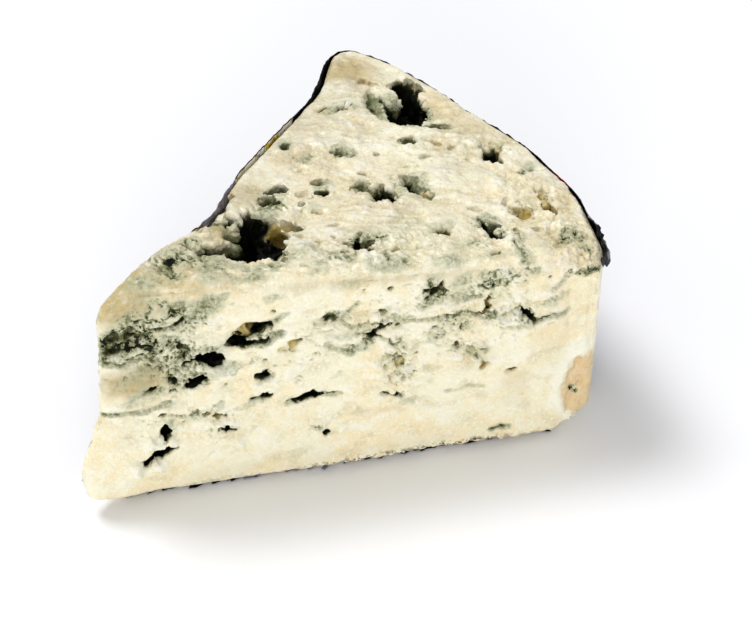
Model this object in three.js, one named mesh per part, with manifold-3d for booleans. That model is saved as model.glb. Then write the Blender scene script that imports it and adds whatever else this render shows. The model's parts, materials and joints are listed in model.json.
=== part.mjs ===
// A wedge of blue-veined cow's milk cheese, cut from the lower half of a small wheel and
// still sitting in what is left of its foil. The wheel's axis is at the wedge's tip, the
// main cut faces -Y, the second cut faces back and to the left, and the rind is on +X.
// Lengths are in millimetres, angles in degrees, +Z is up.
import * as THREE from "three";
import { mergeVertices } from "three/addons/utils/BufferGeometryUtils.js";
import Module from "manifold-3d";

const wasm = await Module();
wasm.setup();

// Driving dimensions of the wedge.
const wheelRadius = 100.4;
const cutAngle = 50;
const rimHeight = 42.6;
const crownRise = 8.6; // how much higher the wheel is at its centre than at its rim
const backCutHollow = 6.1; // how far the second cut curves into the cheese
const tipRound = 5;
const cornerRound = 4.5;
const topEdge = 2; // edge rounding along the rind and the second cut
const frontEdge = 3.4; // edge rounding along the main cut
const footEdge = 1.6;
const rindFootEdge = 7;
const tipFootEdge = 4;
const rindTaper = 0.8; // how far the rind leans in from its top to its foot
const tipFlare = 2.2; // how far the soft tip spreads near its foot
const flareHeight = 7; // where it spreads most
const flareReach = 12;
const reliefDepth = 0.45;

// Driving dimensions of the foil.
const foilThickness = 0.6;
const foilGap = 0.35; // clear space between foil and cheese
const foilBaseGap = 0.3;
const foilBaseThickness = 0.7;
const foilBaseReach = 0.8; // how far the flat base runs out under the rounded foot
const foilRimMean = 0.2; // how far the foil's rim stands above the edge that it follows
const foilRimWave = 1.2;
const foilTipDrop = 6; // how far the rim sinks where the soft tip bulges over it

// Grid of the cheese's skin: columns round the wedge, then rings from the top to the base.
const columns = 80;
const foilFirstColumn = 28; // the foil starts and ends at these columns
const foilLastColumn = 78;
const rings = { top: 13, topEdge: 3, wall: 9, footEdge: 4, base: 4 };

// Pits where the curd never closed. On the top, x and y are measured from the wheel's
// axis. On the main cut, x is the distance from the tip and z the height. The turn is
// seen from outside, anticlockwise.
const topPits = [
  { name: "broken edge", x: 28.2, y: 22.8, long: 19, wide: 6.5, deep: 4, turn: 50 },
  { name: "great pit", x: 34, y: 11, long: 12, wide: 8.5, deep: 8, turn: 5 },
  { name: "great pit's far end", x: 34, y: 17, long: 8.5, wide: 8, deep: 7, turn: 60 },
  { name: "great pit's left arm", x: 27.5, y: 12.5, long: 6.5, wide: 3, deep: 5, turn: 25 },
  { name: "great pit's slope", x: 39, y: 15, long: 7.5, wide: 5.5, deep: 3.2, turn: 20 },
  { name: "far pit", x: 72, y: 51.5, long: 8.5, wide: 9.5, deep: 8, turn: 0 },
  { name: "far pit's upper end", x: 75.3, y: 58.5, long: 6.5, wide: 7, deep: 6, turn: 0 },
  { name: "far pit's shelf", x: 67, y: 54, long: 6, wide: 6.5, deep: 2.6, turn: 0 },
  { name: "far slit", x: 78.2, y: 45.4, long: 5.6, wide: 2.8, deep: 3.5, turn: 0 },
  { name: "far hole", x: 71.7, y: 41.2, long: 3.8, wide: 3.2, deep: 4, turn: 0 },
  { name: "rind hole", x: 86, y: 35, long: 5, wide: 5, deep: 5, turn: 35 },
  { name: "middle pit", x: 61.2, y: 24.4, long: 6.8, wide: 6, deep: 6, turn: -15 },
  { name: "middle pit's neighbour", x: 68.6, y: 25.7, long: 5.6, wide: 6.8, deep: 5, turn: 20 },
  { name: "clean pit", x: 87, y: 16.6, long: 5.6, wide: 4.4, deep: 3.5, turn: -40 },
  { name: "near rind slit", x: 79.3, y: 10.8, long: 4.6, wide: 3.2, deep: 4, turn: -40 },
  { name: "near hole", x: 70.2, y: 11.2, long: 4, wide: 3.2, deep: 3, turn: 0 },
  { name: "left slit", x: 41.6, y: 27.5, long: 5.4, wide: 2.6, deep: 4, turn: 35 },
  { name: "left hole", x: 39.2, y: 24.3, long: 3.6, wide: 2.8, deep: 3.5, turn: 0 },
  { name: "front slit", x: 53.8, y: 8.3, long: 4.6, wide: 2.4, deep: 3, turn: -35 },
];
const cutPits = [
  { name: "upper pocket", x: 30.8, z: 37.9, long: 8.2, wide: 4.8, deep: 6, turn: 14 },
  { name: "dark pocket", x: 24, z: 32.4, long: 5.4, wide: 3.8, deep: 6, turn: 20 },
  { name: "dark pocket's tail", x: 20.7, z: 27.7, long: 4, wide: 2.4, deep: 4, turn: 10 },
  { name: "mould pocket", x: 11.4, z: 27.6, long: 4, wide: 2.6, deep: 3.5, turn: 15 },
  { name: "tip band", x: 8, z: 40.5, long: 11, wide: 6, deep: 1.6, turn: 4 },
  { name: "low shaft", x: 13.9, z: 15.8, long: 3, wide: 4.6, deep: 5, turn: 0 },
  { name: "low crack", x: 12, z: 10.6, long: 8, wide: 2.8, deep: 5, turn: 27 },
  { name: "low slit", x: 25.3, z: 14.2, long: 4, wide: 2, deep: 3.5, turn: 15 },
  { name: "middle slit", x: 32.5, z: 21.4, long: 4.6, wide: 2.2, deep: 3.5, turn: 8 },
  { name: "long crack", x: 42.4, z: 19.4, long: 9, wide: 2.2, deep: 4, turn: 2 },
  { name: "upper hole", x: 54.4, z: 33, long: 2.8, wide: 3, deep: 3, turn: 30 },
  { name: "blue hollow", x: 66.7, z: 41.6, long: 4.4, wide: 3.4, deep: 2.4, turn: 15 },
  { name: "right hole", x: 84.2, z: 32.6, long: 3.4, wide: 2.6, deep: 3, turn: -20 },
  { name: "heel scoop", x: 95.2, z: 11.6, long: 5, wide: 14.5, deep: 1.6, turn: -10 },
];

const rad = THREE.MathUtils.degToRad;
const { lerp, smoothstep } = THREE.MathUtils;

// The wedge seen from above: main cut, rind, second cut, with rounded corners.
function planOutline() {
  const onRind = (degrees) =>
    new THREE.Vector2(wheelRadius * Math.cos(rad(degrees)), wheelRadius * Math.sin(rad(degrees)));
  const corner = (cornerRound / wheelRadius) * (180 / Math.PI);
  const back = onRind(cutAngle);
  const hollow = back.clone().multiplyScalar(0.5);
  const inward = new THREE.Vector2(Math.sin(rad(cutAngle)), -Math.cos(rad(cutAngle)));
  hollow.addScaledVector(inward, 2 * backCutHollow);
  const secondCut = new THREE.QuadraticBezierCurve(back, hollow, new THREE.Vector2(0, 0));
  const leave = secondCut.getPoint(cornerRound / wheelRadius);
  const arrive = secondCut.getPoint(1 - tipRound / wheelRadius);
  const bend = leave.clone().add(arrive).multiplyScalar(0.5).addScaledVector(inward, 2 * backCutHollow);
  const path = new THREE.Path();
  path.moveTo(tipRound, 0);
  path.lineTo(wheelRadius - cornerRound, 0);
  path.quadraticCurveTo(wheelRadius, 0, onRind(corner).x, onRind(corner).y);
  path.absarc(0, 0, wheelRadius, rad(corner), rad(cutAngle - corner), false);
  path.quadraticCurveTo(back.x, back.y, leave.x, leave.y);
  path.quadraticCurveTo(bend.x, bend.y, arrive.x, arrive.y);
  path.quadraticCurveTo(0, 0, tipRound, 0);
  return path;
}

const outline = planOutline();

// The heart is equally far from all three sides, so scaling about it is a true inset.
const heart = new THREE.Vector2(67.5, 28.5);
const heartToSides = 28;

const rindness = (p) => smoothstep(p.length(), wheelRadius * 0.9, wheelRadius * 0.985);
const frontness = (p) => 1 - smoothstep(p.y, 0.5, 6);
const tipness = (p) => 1 - smoothstep(p.length(), 2, 26);

// A point on the wedge's outline, moved in towards the heart, then straight out.
function onOutline(share, inset, outset = 0) {
  const along = outline.getTangentAt(share);
  const p = outline.getPointAt(share);
  p.sub(heart).multiplyScalar(1 - inset / heartToSides).add(heart);
  return p.add(new THREE.Vector2(along.y, -along.x).multiplyScalar(outset));
}

// Height of the wheel's domed top.
function crown(p) {
  return rimHeight + crownRise * (1 - Math.min(1, p.lengthSq() / wheelRadius ** 2));
}

// Slow unevenness of a cut, from a few crossed waves.
function relief(a, b) {
  const waves = Math.sin(a / 3.1 + 1.3 * Math.sin(b / 4.7)) + Math.sin(b / 2.6 - a / 7.9) + Math.sin(a / 1.9 + b / 2.3);
  return (reliefDepth * waves) / 2;
}

// Edge rounding along the foot, larger at the rind and at the tip.
function footRounding(p) {
  return lerp(lerp(footEdge, rindFootEdge, rindness(p)), tipFootEdge, tipness(p));
}

// How far the side stands back at a height, from the rind's lean and the soft tip's foot.
function sideInset(p, z) {
  const lean = rindTaper * rindness(p) * (1 - z / rimHeight);
  const flare = tipFlare * tipness(p) * Math.exp(-(((z - flareHeight) / flareReach) ** 2));
  return lean - flare;
}

// A point of the wedge's skin. Level runs 0..1 inside each stretch of the profile, and
// outset moves the whole skin outwards.
function skinPoint(share, stretch, level, outset = 0) {
  const edge = outline.getPointAt(share);
  const topRound = lerp(topEdge, frontEdge, frontness(edge));
  const footRound = footRounding(edge);
  const top = crown(edge);
  const quarter = (level * Math.PI) / 2;
  if (stretch === "top") {
    const p = heart.clone().lerp(onOutline(share, topRound + sideInset(edge, top)), level);
    return new THREE.Vector3(p.x, p.y, crown(p) + relief(p.x, p.y) * Math.min(1, 2 - 2 * level));
  }
  if (stretch === "base") {
    const p = onOutline(share, footRound + sideInset(edge, 0)).lerp(heart, level);
    return new THREE.Vector3(p.x, p.y, 0);
  }
  let z = lerp(top - topRound, footRound, level);
  let inset = 0;
  let out = outset;
  if (stretch === "topEdge") {
    z = top - topRound * (1 - Math.cos(quarter));
    inset = topRound * (1 - Math.sin(quarter));
  }
  if (stretch === "footEdge") {
    z = footRound - (footRound + outset) * Math.sin(quarter);
    inset = footRound * (1 - Math.cos(quarter));
    out = outset * Math.cos(quarter);
  }
  const p = onOutline(share, inset + sideInset(edge, Math.max(0, z)), out);
  const cut = stretch === "wall" ? frontness(edge) * Math.sin(level * Math.PI) : 0;
  return new THREE.Vector3(p.x, p.y - cut * relief(p.x, z), z);
}

// A sphere's rings are pressed into the wedge: the poles become the middles of top and base.
function cheeseBody() {
  const order = ["top", "topEdge", "wall", "footEdge", "base"];
  const ringCount = order.reduce((sum, stretch) => sum + rings[stretch], 0);
  const sphere = new THREE.SphereGeometry(1, columns, ringCount);
  const position = sphere.getAttribute("position");
  for (let row = 0, i = 0; row <= ringCount; row++) {
    let stretch = 0;
    let left = row;
    while (left > rings[order[stretch]]) left -= rings[order[stretch++]];
    for (let column = 0; column <= columns; column++, i++) {
      const share = (column % columns) / columns;
      const p = skinPoint(share, order[stretch], left / rings[order[stretch]]);
      position.setXYZ(i, p.x, p.y, p.z);
    }
  }
  return sphere;
}

// A closed three.js geometry as a solid, turned round if its faces point inwards.
function solid(geometry) {
  const bare = geometry.clone();
  bare.deleteAttribute("normal");
  bare.deleteAttribute("uv");
  const merged = mergeVertices(bare, 1e-4);
  const build = (triVerts) =>
    new wasm.Manifold(
      new wasm.Mesh({ numProp: 3, vertProperties: merged.getAttribute("position").array, triVerts }),
    );
  const made = build(new Uint32Array(merged.index.array));
  return made.volume() > 0 ? made : build(new Uint32Array(merged.index.array).reverse());
}

function geometryOf(manifold) {
  const { vertProperties, triVerts } = manifold.getMesh();
  const geometry = new THREE.BufferGeometry();
  geometry.setAttribute("position", new THREE.BufferAttribute(vertProperties, 3));
  geometry.setIndex(new THREE.BufferAttribute(triVerts, 1));
  return geometry;
}

// A rough pit, as an angular lump to cut away. Length runs along its own x, depth along z.
function pitLump(pit, seed) {
  const lump = new THREE.IcosahedronGeometry(1, 1);
  const position = lump.getAttribute("position");
  for (let i = 0; i < position.count; i++) {
    const p = new THREE.Vector3().fromBufferAttribute(position, i);
    const key = p.dot(new THREE.Vector3(17.3, 41.9, 29.7)) + seed * 5.1;
    p.multiplyScalar(0.98 + 0.2 * Math.sin(key * 3.7));
    position.setXYZ(i, (p.x * pit.long) / 2, (p.y * pit.wide) / 2, p.z * pit.deep);
  }
  return lump.rotateZ(rad(pit.turn));
}

function pitsInTop() {
  return topPits.map((pit, i) => {
    const place = new THREE.Vector2(pit.x, pit.y);
    return solid(pitLump(pit, i).translate(pit.x, pit.y, crown(place)));
  });
}

function pitsInCut() {
  return cutPits.map((pit, i) => solid(pitLump(pit, i + 20).rotateX(Math.PI / 2).translate(pit.x, 0, pit.z)));
}

function cheeseGeometry() {
  let cheese = solid(cheeseBody());
  for (const pit of [...pitsInTop(), ...pitsInCut()]) cheese = cheese.subtract(pit);
  return geometryOf(cheese);
}

// The foil's upright part follows the rind and the second cut, from just round one end of
// the main cut to just round the other. It shares the cheese's columns, so the gap between
// the two stays even, and its rim wanders about the cheese's edge.
function foilWall() {
  const steps = foilLastColumn - foilFirstColumn;
  const levels = rings.footEdge + rings.wall;
  const strip = new THREE.BoxGeometry(1, 1, 1, steps, 1, levels);
  const position = strip.getAttribute("position");
  for (let i = 0; i < position.count; i++) {
    const column = foilFirstColumn + Math.round((position.getX(i) + 0.5) * steps);
    const outset = foilGap + foilThickness * (0.5 - position.getY(i));
    const level = Math.round((position.getZ(i) + 0.5) * levels);
    const share = column / columns;
    if (level <= rings.footEdge) {
      const p = skinPoint(share, "footEdge", 1 - level / rings.footEdge, outset);
      position.setXYZ(i, p.x, p.y, p.z);
    } else {
      const edge = outline.getPointAt(share);
      const along = column - foilFirstColumn;
      const wave = Math.sin(along * 0.45) * Math.cos(along * 0.17 + 1);
      const rim = crown(edge) + foilRimMean + foilRimWave * wave - foilTipDrop * tipness(edge);
      const foot = footRounding(edge);
      const z = lerp(foot, rim, (level - rings.footEdge) / rings.wall);
      const p = onOutline(share, sideInset(edge, z), outset);
      position.setXYZ(i, p.x, p.y, z);
    }
  }
  return strip;
}

// The foil's flat part under the cheese. It reaches out into the foot of the wall.
function foilBase() {
  const shape = new THREE.Shape();
  for (let column = 0; column < columns; column++) {
    const edge = outline.getPointAt(column / columns);
    const foot = footRounding(edge);
    const p = onOutline(column / columns, foot - foilBaseReach + sideInset(edge, 0));
    if (column === 0) shape.moveTo(p.x, p.y);
    else shape.lineTo(p.x, p.y);
  }
  const plate = new THREE.ExtrudeGeometry(shape, { depth: foilBaseThickness, bevelEnabled: false });
  return plate.translate(0, 0, -foilBaseGap - foilBaseThickness);
}

function foilGeometry() {
  return geometryOf(solid(foilBase()).add(solid(foilWall())));
}

const cheeseMaterial = new THREE.MeshStandardMaterial({ color: 0xf0e2c0, roughness: 0.5, metalness: 0 });
const foilMaterial = new THREE.MeshStandardMaterial({ color: 0x23233a, roughness: 0.3, metalness: 0.8 });

const cheese = new THREE.Mesh(cheeseGeometry(), cheeseMaterial);
cheese.name = "cheese";
const foil = new THREE.Mesh(foilGeometry(), foilMaterial);
foil.name = "foil";

// The part's origin is under the middle of its bounding box, on the table.
const wedge = new THREE.Group();
wedge.add(cheese, foil);
const box = new THREE.Box3().setFromObject(wedge);
const middle = box.getCenter(new THREE.Vector3());
wedge.position.set(-middle.x, -middle.y, -box.min.z);

export default wedge;
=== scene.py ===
import json
import math
import bpy
import numpy as np
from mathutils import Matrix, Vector
from mathutils.bvhtree import BVHTree
from mathutils.kdtree import KDTree

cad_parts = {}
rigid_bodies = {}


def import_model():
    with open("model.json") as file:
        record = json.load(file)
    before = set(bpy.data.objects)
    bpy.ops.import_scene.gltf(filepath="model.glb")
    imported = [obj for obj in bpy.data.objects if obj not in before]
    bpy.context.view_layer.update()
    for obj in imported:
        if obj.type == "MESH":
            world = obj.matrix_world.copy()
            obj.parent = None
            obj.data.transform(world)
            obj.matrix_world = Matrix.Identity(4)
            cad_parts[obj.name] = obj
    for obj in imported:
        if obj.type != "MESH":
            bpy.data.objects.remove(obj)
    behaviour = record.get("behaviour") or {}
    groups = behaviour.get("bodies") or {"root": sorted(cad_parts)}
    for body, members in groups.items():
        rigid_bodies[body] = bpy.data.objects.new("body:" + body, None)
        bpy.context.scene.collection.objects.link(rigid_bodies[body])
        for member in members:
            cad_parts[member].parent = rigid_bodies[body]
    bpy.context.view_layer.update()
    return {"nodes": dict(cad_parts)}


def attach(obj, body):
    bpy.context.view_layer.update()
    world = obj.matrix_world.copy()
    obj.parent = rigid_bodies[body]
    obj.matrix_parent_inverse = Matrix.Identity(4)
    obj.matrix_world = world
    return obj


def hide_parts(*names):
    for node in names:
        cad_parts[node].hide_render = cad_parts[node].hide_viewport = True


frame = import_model()
print("frame loaded", sorted(frame["nodes"]))

# Lengths in this file are in millimetres, measured from the wheel's axis at the wedge's
# tip, with the table at height 0. The model itself is in metres, about its own middle.
wheel = {
    "radius": 100.4,
    "cutAngle": 50.0,
    "rimHeight": 43.6,
    "crownRise": 8.6,
    "backHollow": 6.1,
    "foot": 1.0,            # the cheese stands this high on its foil
    "tipFlare": 2.2,        # how far the soft tip spreads, most at flareHeight
    "flareHeight": 8.0,
    "flareReach": 12.0,
    "rindTaper": 0.8,
    "corner": 4.5,
    "secondCut": [
        (0, 0), (4, 0.3), (10, 0.9), (22, 0.7), (26, 0), (30, -0.9), (36, -0.8), (43, 0.6), (50, 1.5),
        (62, 1.2), (69, 0.7), (75, 0.3), (80, -0.5), (85, -0.8), (91, -0.1), (96, 0.3), (100, 0),
    ],
    "rindSwell": [
        (0, 0), (4, 0.3), (8, 0.8), (11, 1.4), (14, 1.4), (17, 1.0), (20, 0.9), (23, 1.0), (27, 0.2), (31, -0.6),
        (35, 0.5), (39, 0.8), (43, 1.2), (46, 1.0), (50, 0.4),
    ],
    "middle": (49.3194, 37.0117),
    "heart": (67.5, 28.5),
}


def deselectAll():
    if bpy.context.object and bpy.context.object.mode != "OBJECT":
        bpy.ops.object.mode_set(mode="OBJECT")
    bpy.ops.object.select_all(action="DESELECT")


def activate(piece):
    deselectAll()
    piece.select_set(True)
    bpy.context.view_layer.objects.active = piece


def applyModifier(piece, kind, **values):
    activate(piece)
    modifier = piece.modifiers.new(kind.title(), kind)
    for key, value in values.items():
        setattr(modifier, key, value)
    bpy.ops.object.modifier_apply(modifier=modifier.name)


def pointsOf(piece):
    points = np.empty(len(piece.data.vertices) * 3)
    piece.data.vertices.foreach_get("co", points)
    return points.reshape(-1, 3)


def setPoints(piece, points):
    piece.data.vertices.foreach_set("co", points.ravel())
    piece.data.update()


def normalsOf(piece):
    normals = np.empty(len(piece.data.vertices) * 3)
    piece.data.vertices.foreach_get("normal", normals)
    return normals.reshape(-1, 3)


def toWheel(points):
    return points * 1000 + np.array([wheel["middle"][0], wheel["middle"][1], 0])


def toModel(points):
    return (points - np.array([wheel["middle"][0], wheel["middle"][1], 0])) / 1000


def smooth(low, high, value):
    t = np.clip((value - low) / (high - low), 0, 1)
    return t * t * (3 - 2 * t)


# Repeatable random numbers, 0 to 1, one for each whole-number place of a lattice.
def latticeRandom(cells, salt):
    mixed = (cells[:, 0] * 374761393 + cells[:, 1] * 668265263 + cells[:, 2] * 1440662683 + salt * 974711) & 0xFFFFFFFF
    mixed = ((mixed ^ (mixed >> 13)) * 1274126177) & 0xFFFFFFFF
    mixed = ((mixed ^ (mixed >> 15)) * 668265263) & 0xFFFFFFFF
    return (mixed ^ (mixed >> 16)) / 4294967295.0


latticeSlopes = np.array([
    (1, 1, 0), (-1, 1, 0), (1, -1, 0), (-1, -1, 0), (1, 0, 1), (-1, 0, 1),
    (1, 0, -1), (-1, 0, -1), (0, 1, 1), (0, -1, 1), (0, 1, -1), (0, -1, -1),
])


# Smooth noise about -1 to 1 for many points at once. Each scale is in waves per
# millimetre, and each further octave is twice as fine and half as strong.
def grain(points, scale, octaves=2, salt=0):
    total = np.zeros(len(points))
    for octave in range(octaves):
        scaled = points * np.array(scale) * 2.03 ** octave + 31.7 * octave
        corner = np.floor(scaled).astype(np.int64)
        inside = scaled - corner
        fade = inside ** 3 * (inside * (inside * 6 - 15) + 10)
        for step in np.ndindex(2, 2, 2):
            step = np.array(step)
            slope = latticeSlopes[(latticeRandom(corner + step, salt + 57 * octave) * 11.999).astype(int)]
            weight = np.prod(np.where(step == 1, fade, 1 - fade), axis=1)
            total += weight * np.einsum("ij,ij->i", slope, inside - step) * 0.5 ** octave
    return total * 1.1


# Sharp-crested noise, 0 in the hollows and 1 along thin ridges.
def ridges(points, scale, octaves=2, salt=0):
    return 1 - np.minimum(1, np.abs(grain(points, scale, octaves, salt)) * 2.4)


# Packed cells like pressed curds: how deep each point lies inside its cell, 0 at the
# seams and 1 well inside, and a random number for the cell.
def curds(points, scale, salt=0):
    scaled = points * np.array(scale) + 0.37
    corner = np.floor(scaled).astype(np.int64)
    nearest = np.full(len(points), 9.0)
    second = nearest.copy()
    tint = np.zeros(len(points))
    for step in np.ndindex(3, 3, 3):
        cell = corner + np.array(step) - 1
        spot = cell + np.stack([latticeRandom(cell, salt + k) for k in (1, 2, 3)], axis=1)
        away = np.linalg.norm(spot - scaled, axis=1)
        closer = away < nearest
        second = np.where(closer, nearest, np.minimum(second, away))
        tint = np.where(closer, latticeRandom(cell, salt + 4), tint)
        nearest = np.minimum(nearest, away)
    return np.minimum(1, (second - nearest) / 0.45), tint


# The wedge's outline from above, as the solids have it: points all the way round.
def planOutline(count):
    r = wheel["radius"]
    angle = math.radians(wheel["cutAngle"])
    corner = wheel["corner"] / r

    def onRind(a):
        return np.array([r * math.cos(a), r * math.sin(a)])

    def bend(a, b, c, steps):
        t = np.linspace(0, 1, steps, endpoint=False)[:, None]
        return (1 - t) ** 2 * a + 2 * t * (1 - t) * b + t ** 2 * c

    inward = np.array([math.sin(angle), -math.cos(angle)])
    back = onRind(angle)
    hollow = back * 0.5 + inward * 2 * wheel["backHollow"]

    def onCut(t):
        return (1 - t) ** 2 * back + 2 * t * (1 - t) * hollow

    leave, arrive = onCut(0.045), onCut(0.95)
    middle = (leave + arrive) / 2 + inward * 2 * wheel["backHollow"]
    arc = [onRind(a) for a in np.linspace(corner, angle - corner, 120, endpoint=False)]
    path = np.vstack([
        np.linspace([5.0, 0.0], [r - wheel["corner"], 0.0], 120, endpoint=False),
        bend(np.array([r - wheel["corner"], 0.0]), np.array([r, 0.0]), onRind(corner), 14),
        arc,
        bend(onRind(angle - corner), back, leave, 14),
        bend(leave, middle, arrive, 140),
        bend(arrive, np.array([0.0, 0.0]), np.array([5.0, 0.0]), 14),
    ])
    # The rind isn't quite round, and the second cut isn't quite even.
    away = np.hypot(path[:, 0], path[:, 1])
    swell = np.interp(np.degrees(np.arctan2(path[:, 1], path[:, 0])), *zip(*wheel["rindSwell"]))
    path = path * (1 + swell * smooth(r - 8, r - 1, away) / r)[:, None]
    byCut = path[:, 0] * math.cos(angle) + path[:, 1] * math.sin(angle)
    apart = path[:, 1] * math.cos(angle) - path[:, 0] * math.sin(angle)
    waves = np.interp(byCut, *zip(*wheel["secondCut"])) * smooth(-13, -10, apart) * (byCut < r - 4)
    path = path - waves[:, None] * inward
    closed = np.vstack([path, path[:1]])
    length = np.concatenate([[0], np.cumsum(np.linalg.norm(np.diff(closed, axis=0), axis=1))])
    at = np.linspace(0, length[-1], count, endpoint=False)
    return np.stack([np.interp(at, length, closed[:, i]) for i in (0, 1)], axis=1)


outline = planOutline(900)
outlineTree = KDTree(len(outline))
for index, point in enumerate(outline):
    outlineTree.insert((point[0], point[1], 0), index)
outlineTree.balance()


# Edge rounding along the foot, larger at the rind and at the tip.
def footRounding(points):
    rind, tip = rindness(points), tipness(points)
    return (1.6 + 5.4 * rind) * (1 - tip) + 4.0 * tip


def insetOf(points):
    return np.array([outlineTree.find((p[0], p[1], 0))[2] for p in points])


def crown(points):
    share = np.minimum(1, (points[:, 0] ** 2 + points[:, 1] ** 2) / wheel["radius"] ** 2)
    farCorner = np.hypot(points[:, 0] - 67, points[:, 1] - 74) / 14
    return wheel["rimHeight"] + wheel["crownRise"] * (1 - share) + 0.9 * np.exp(-farCorner ** 2)


def rindness(points):
    return smooth(90, 98.5, np.hypot(points[:, 0], points[:, 1]))


def frontness(points):
    return 1 - smooth(0.5, 6, points[:, 1])


def tipness(points):
    return 1 - smooth(2, 26, np.hypot(points[:, 0], points[:, 1]))


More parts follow.
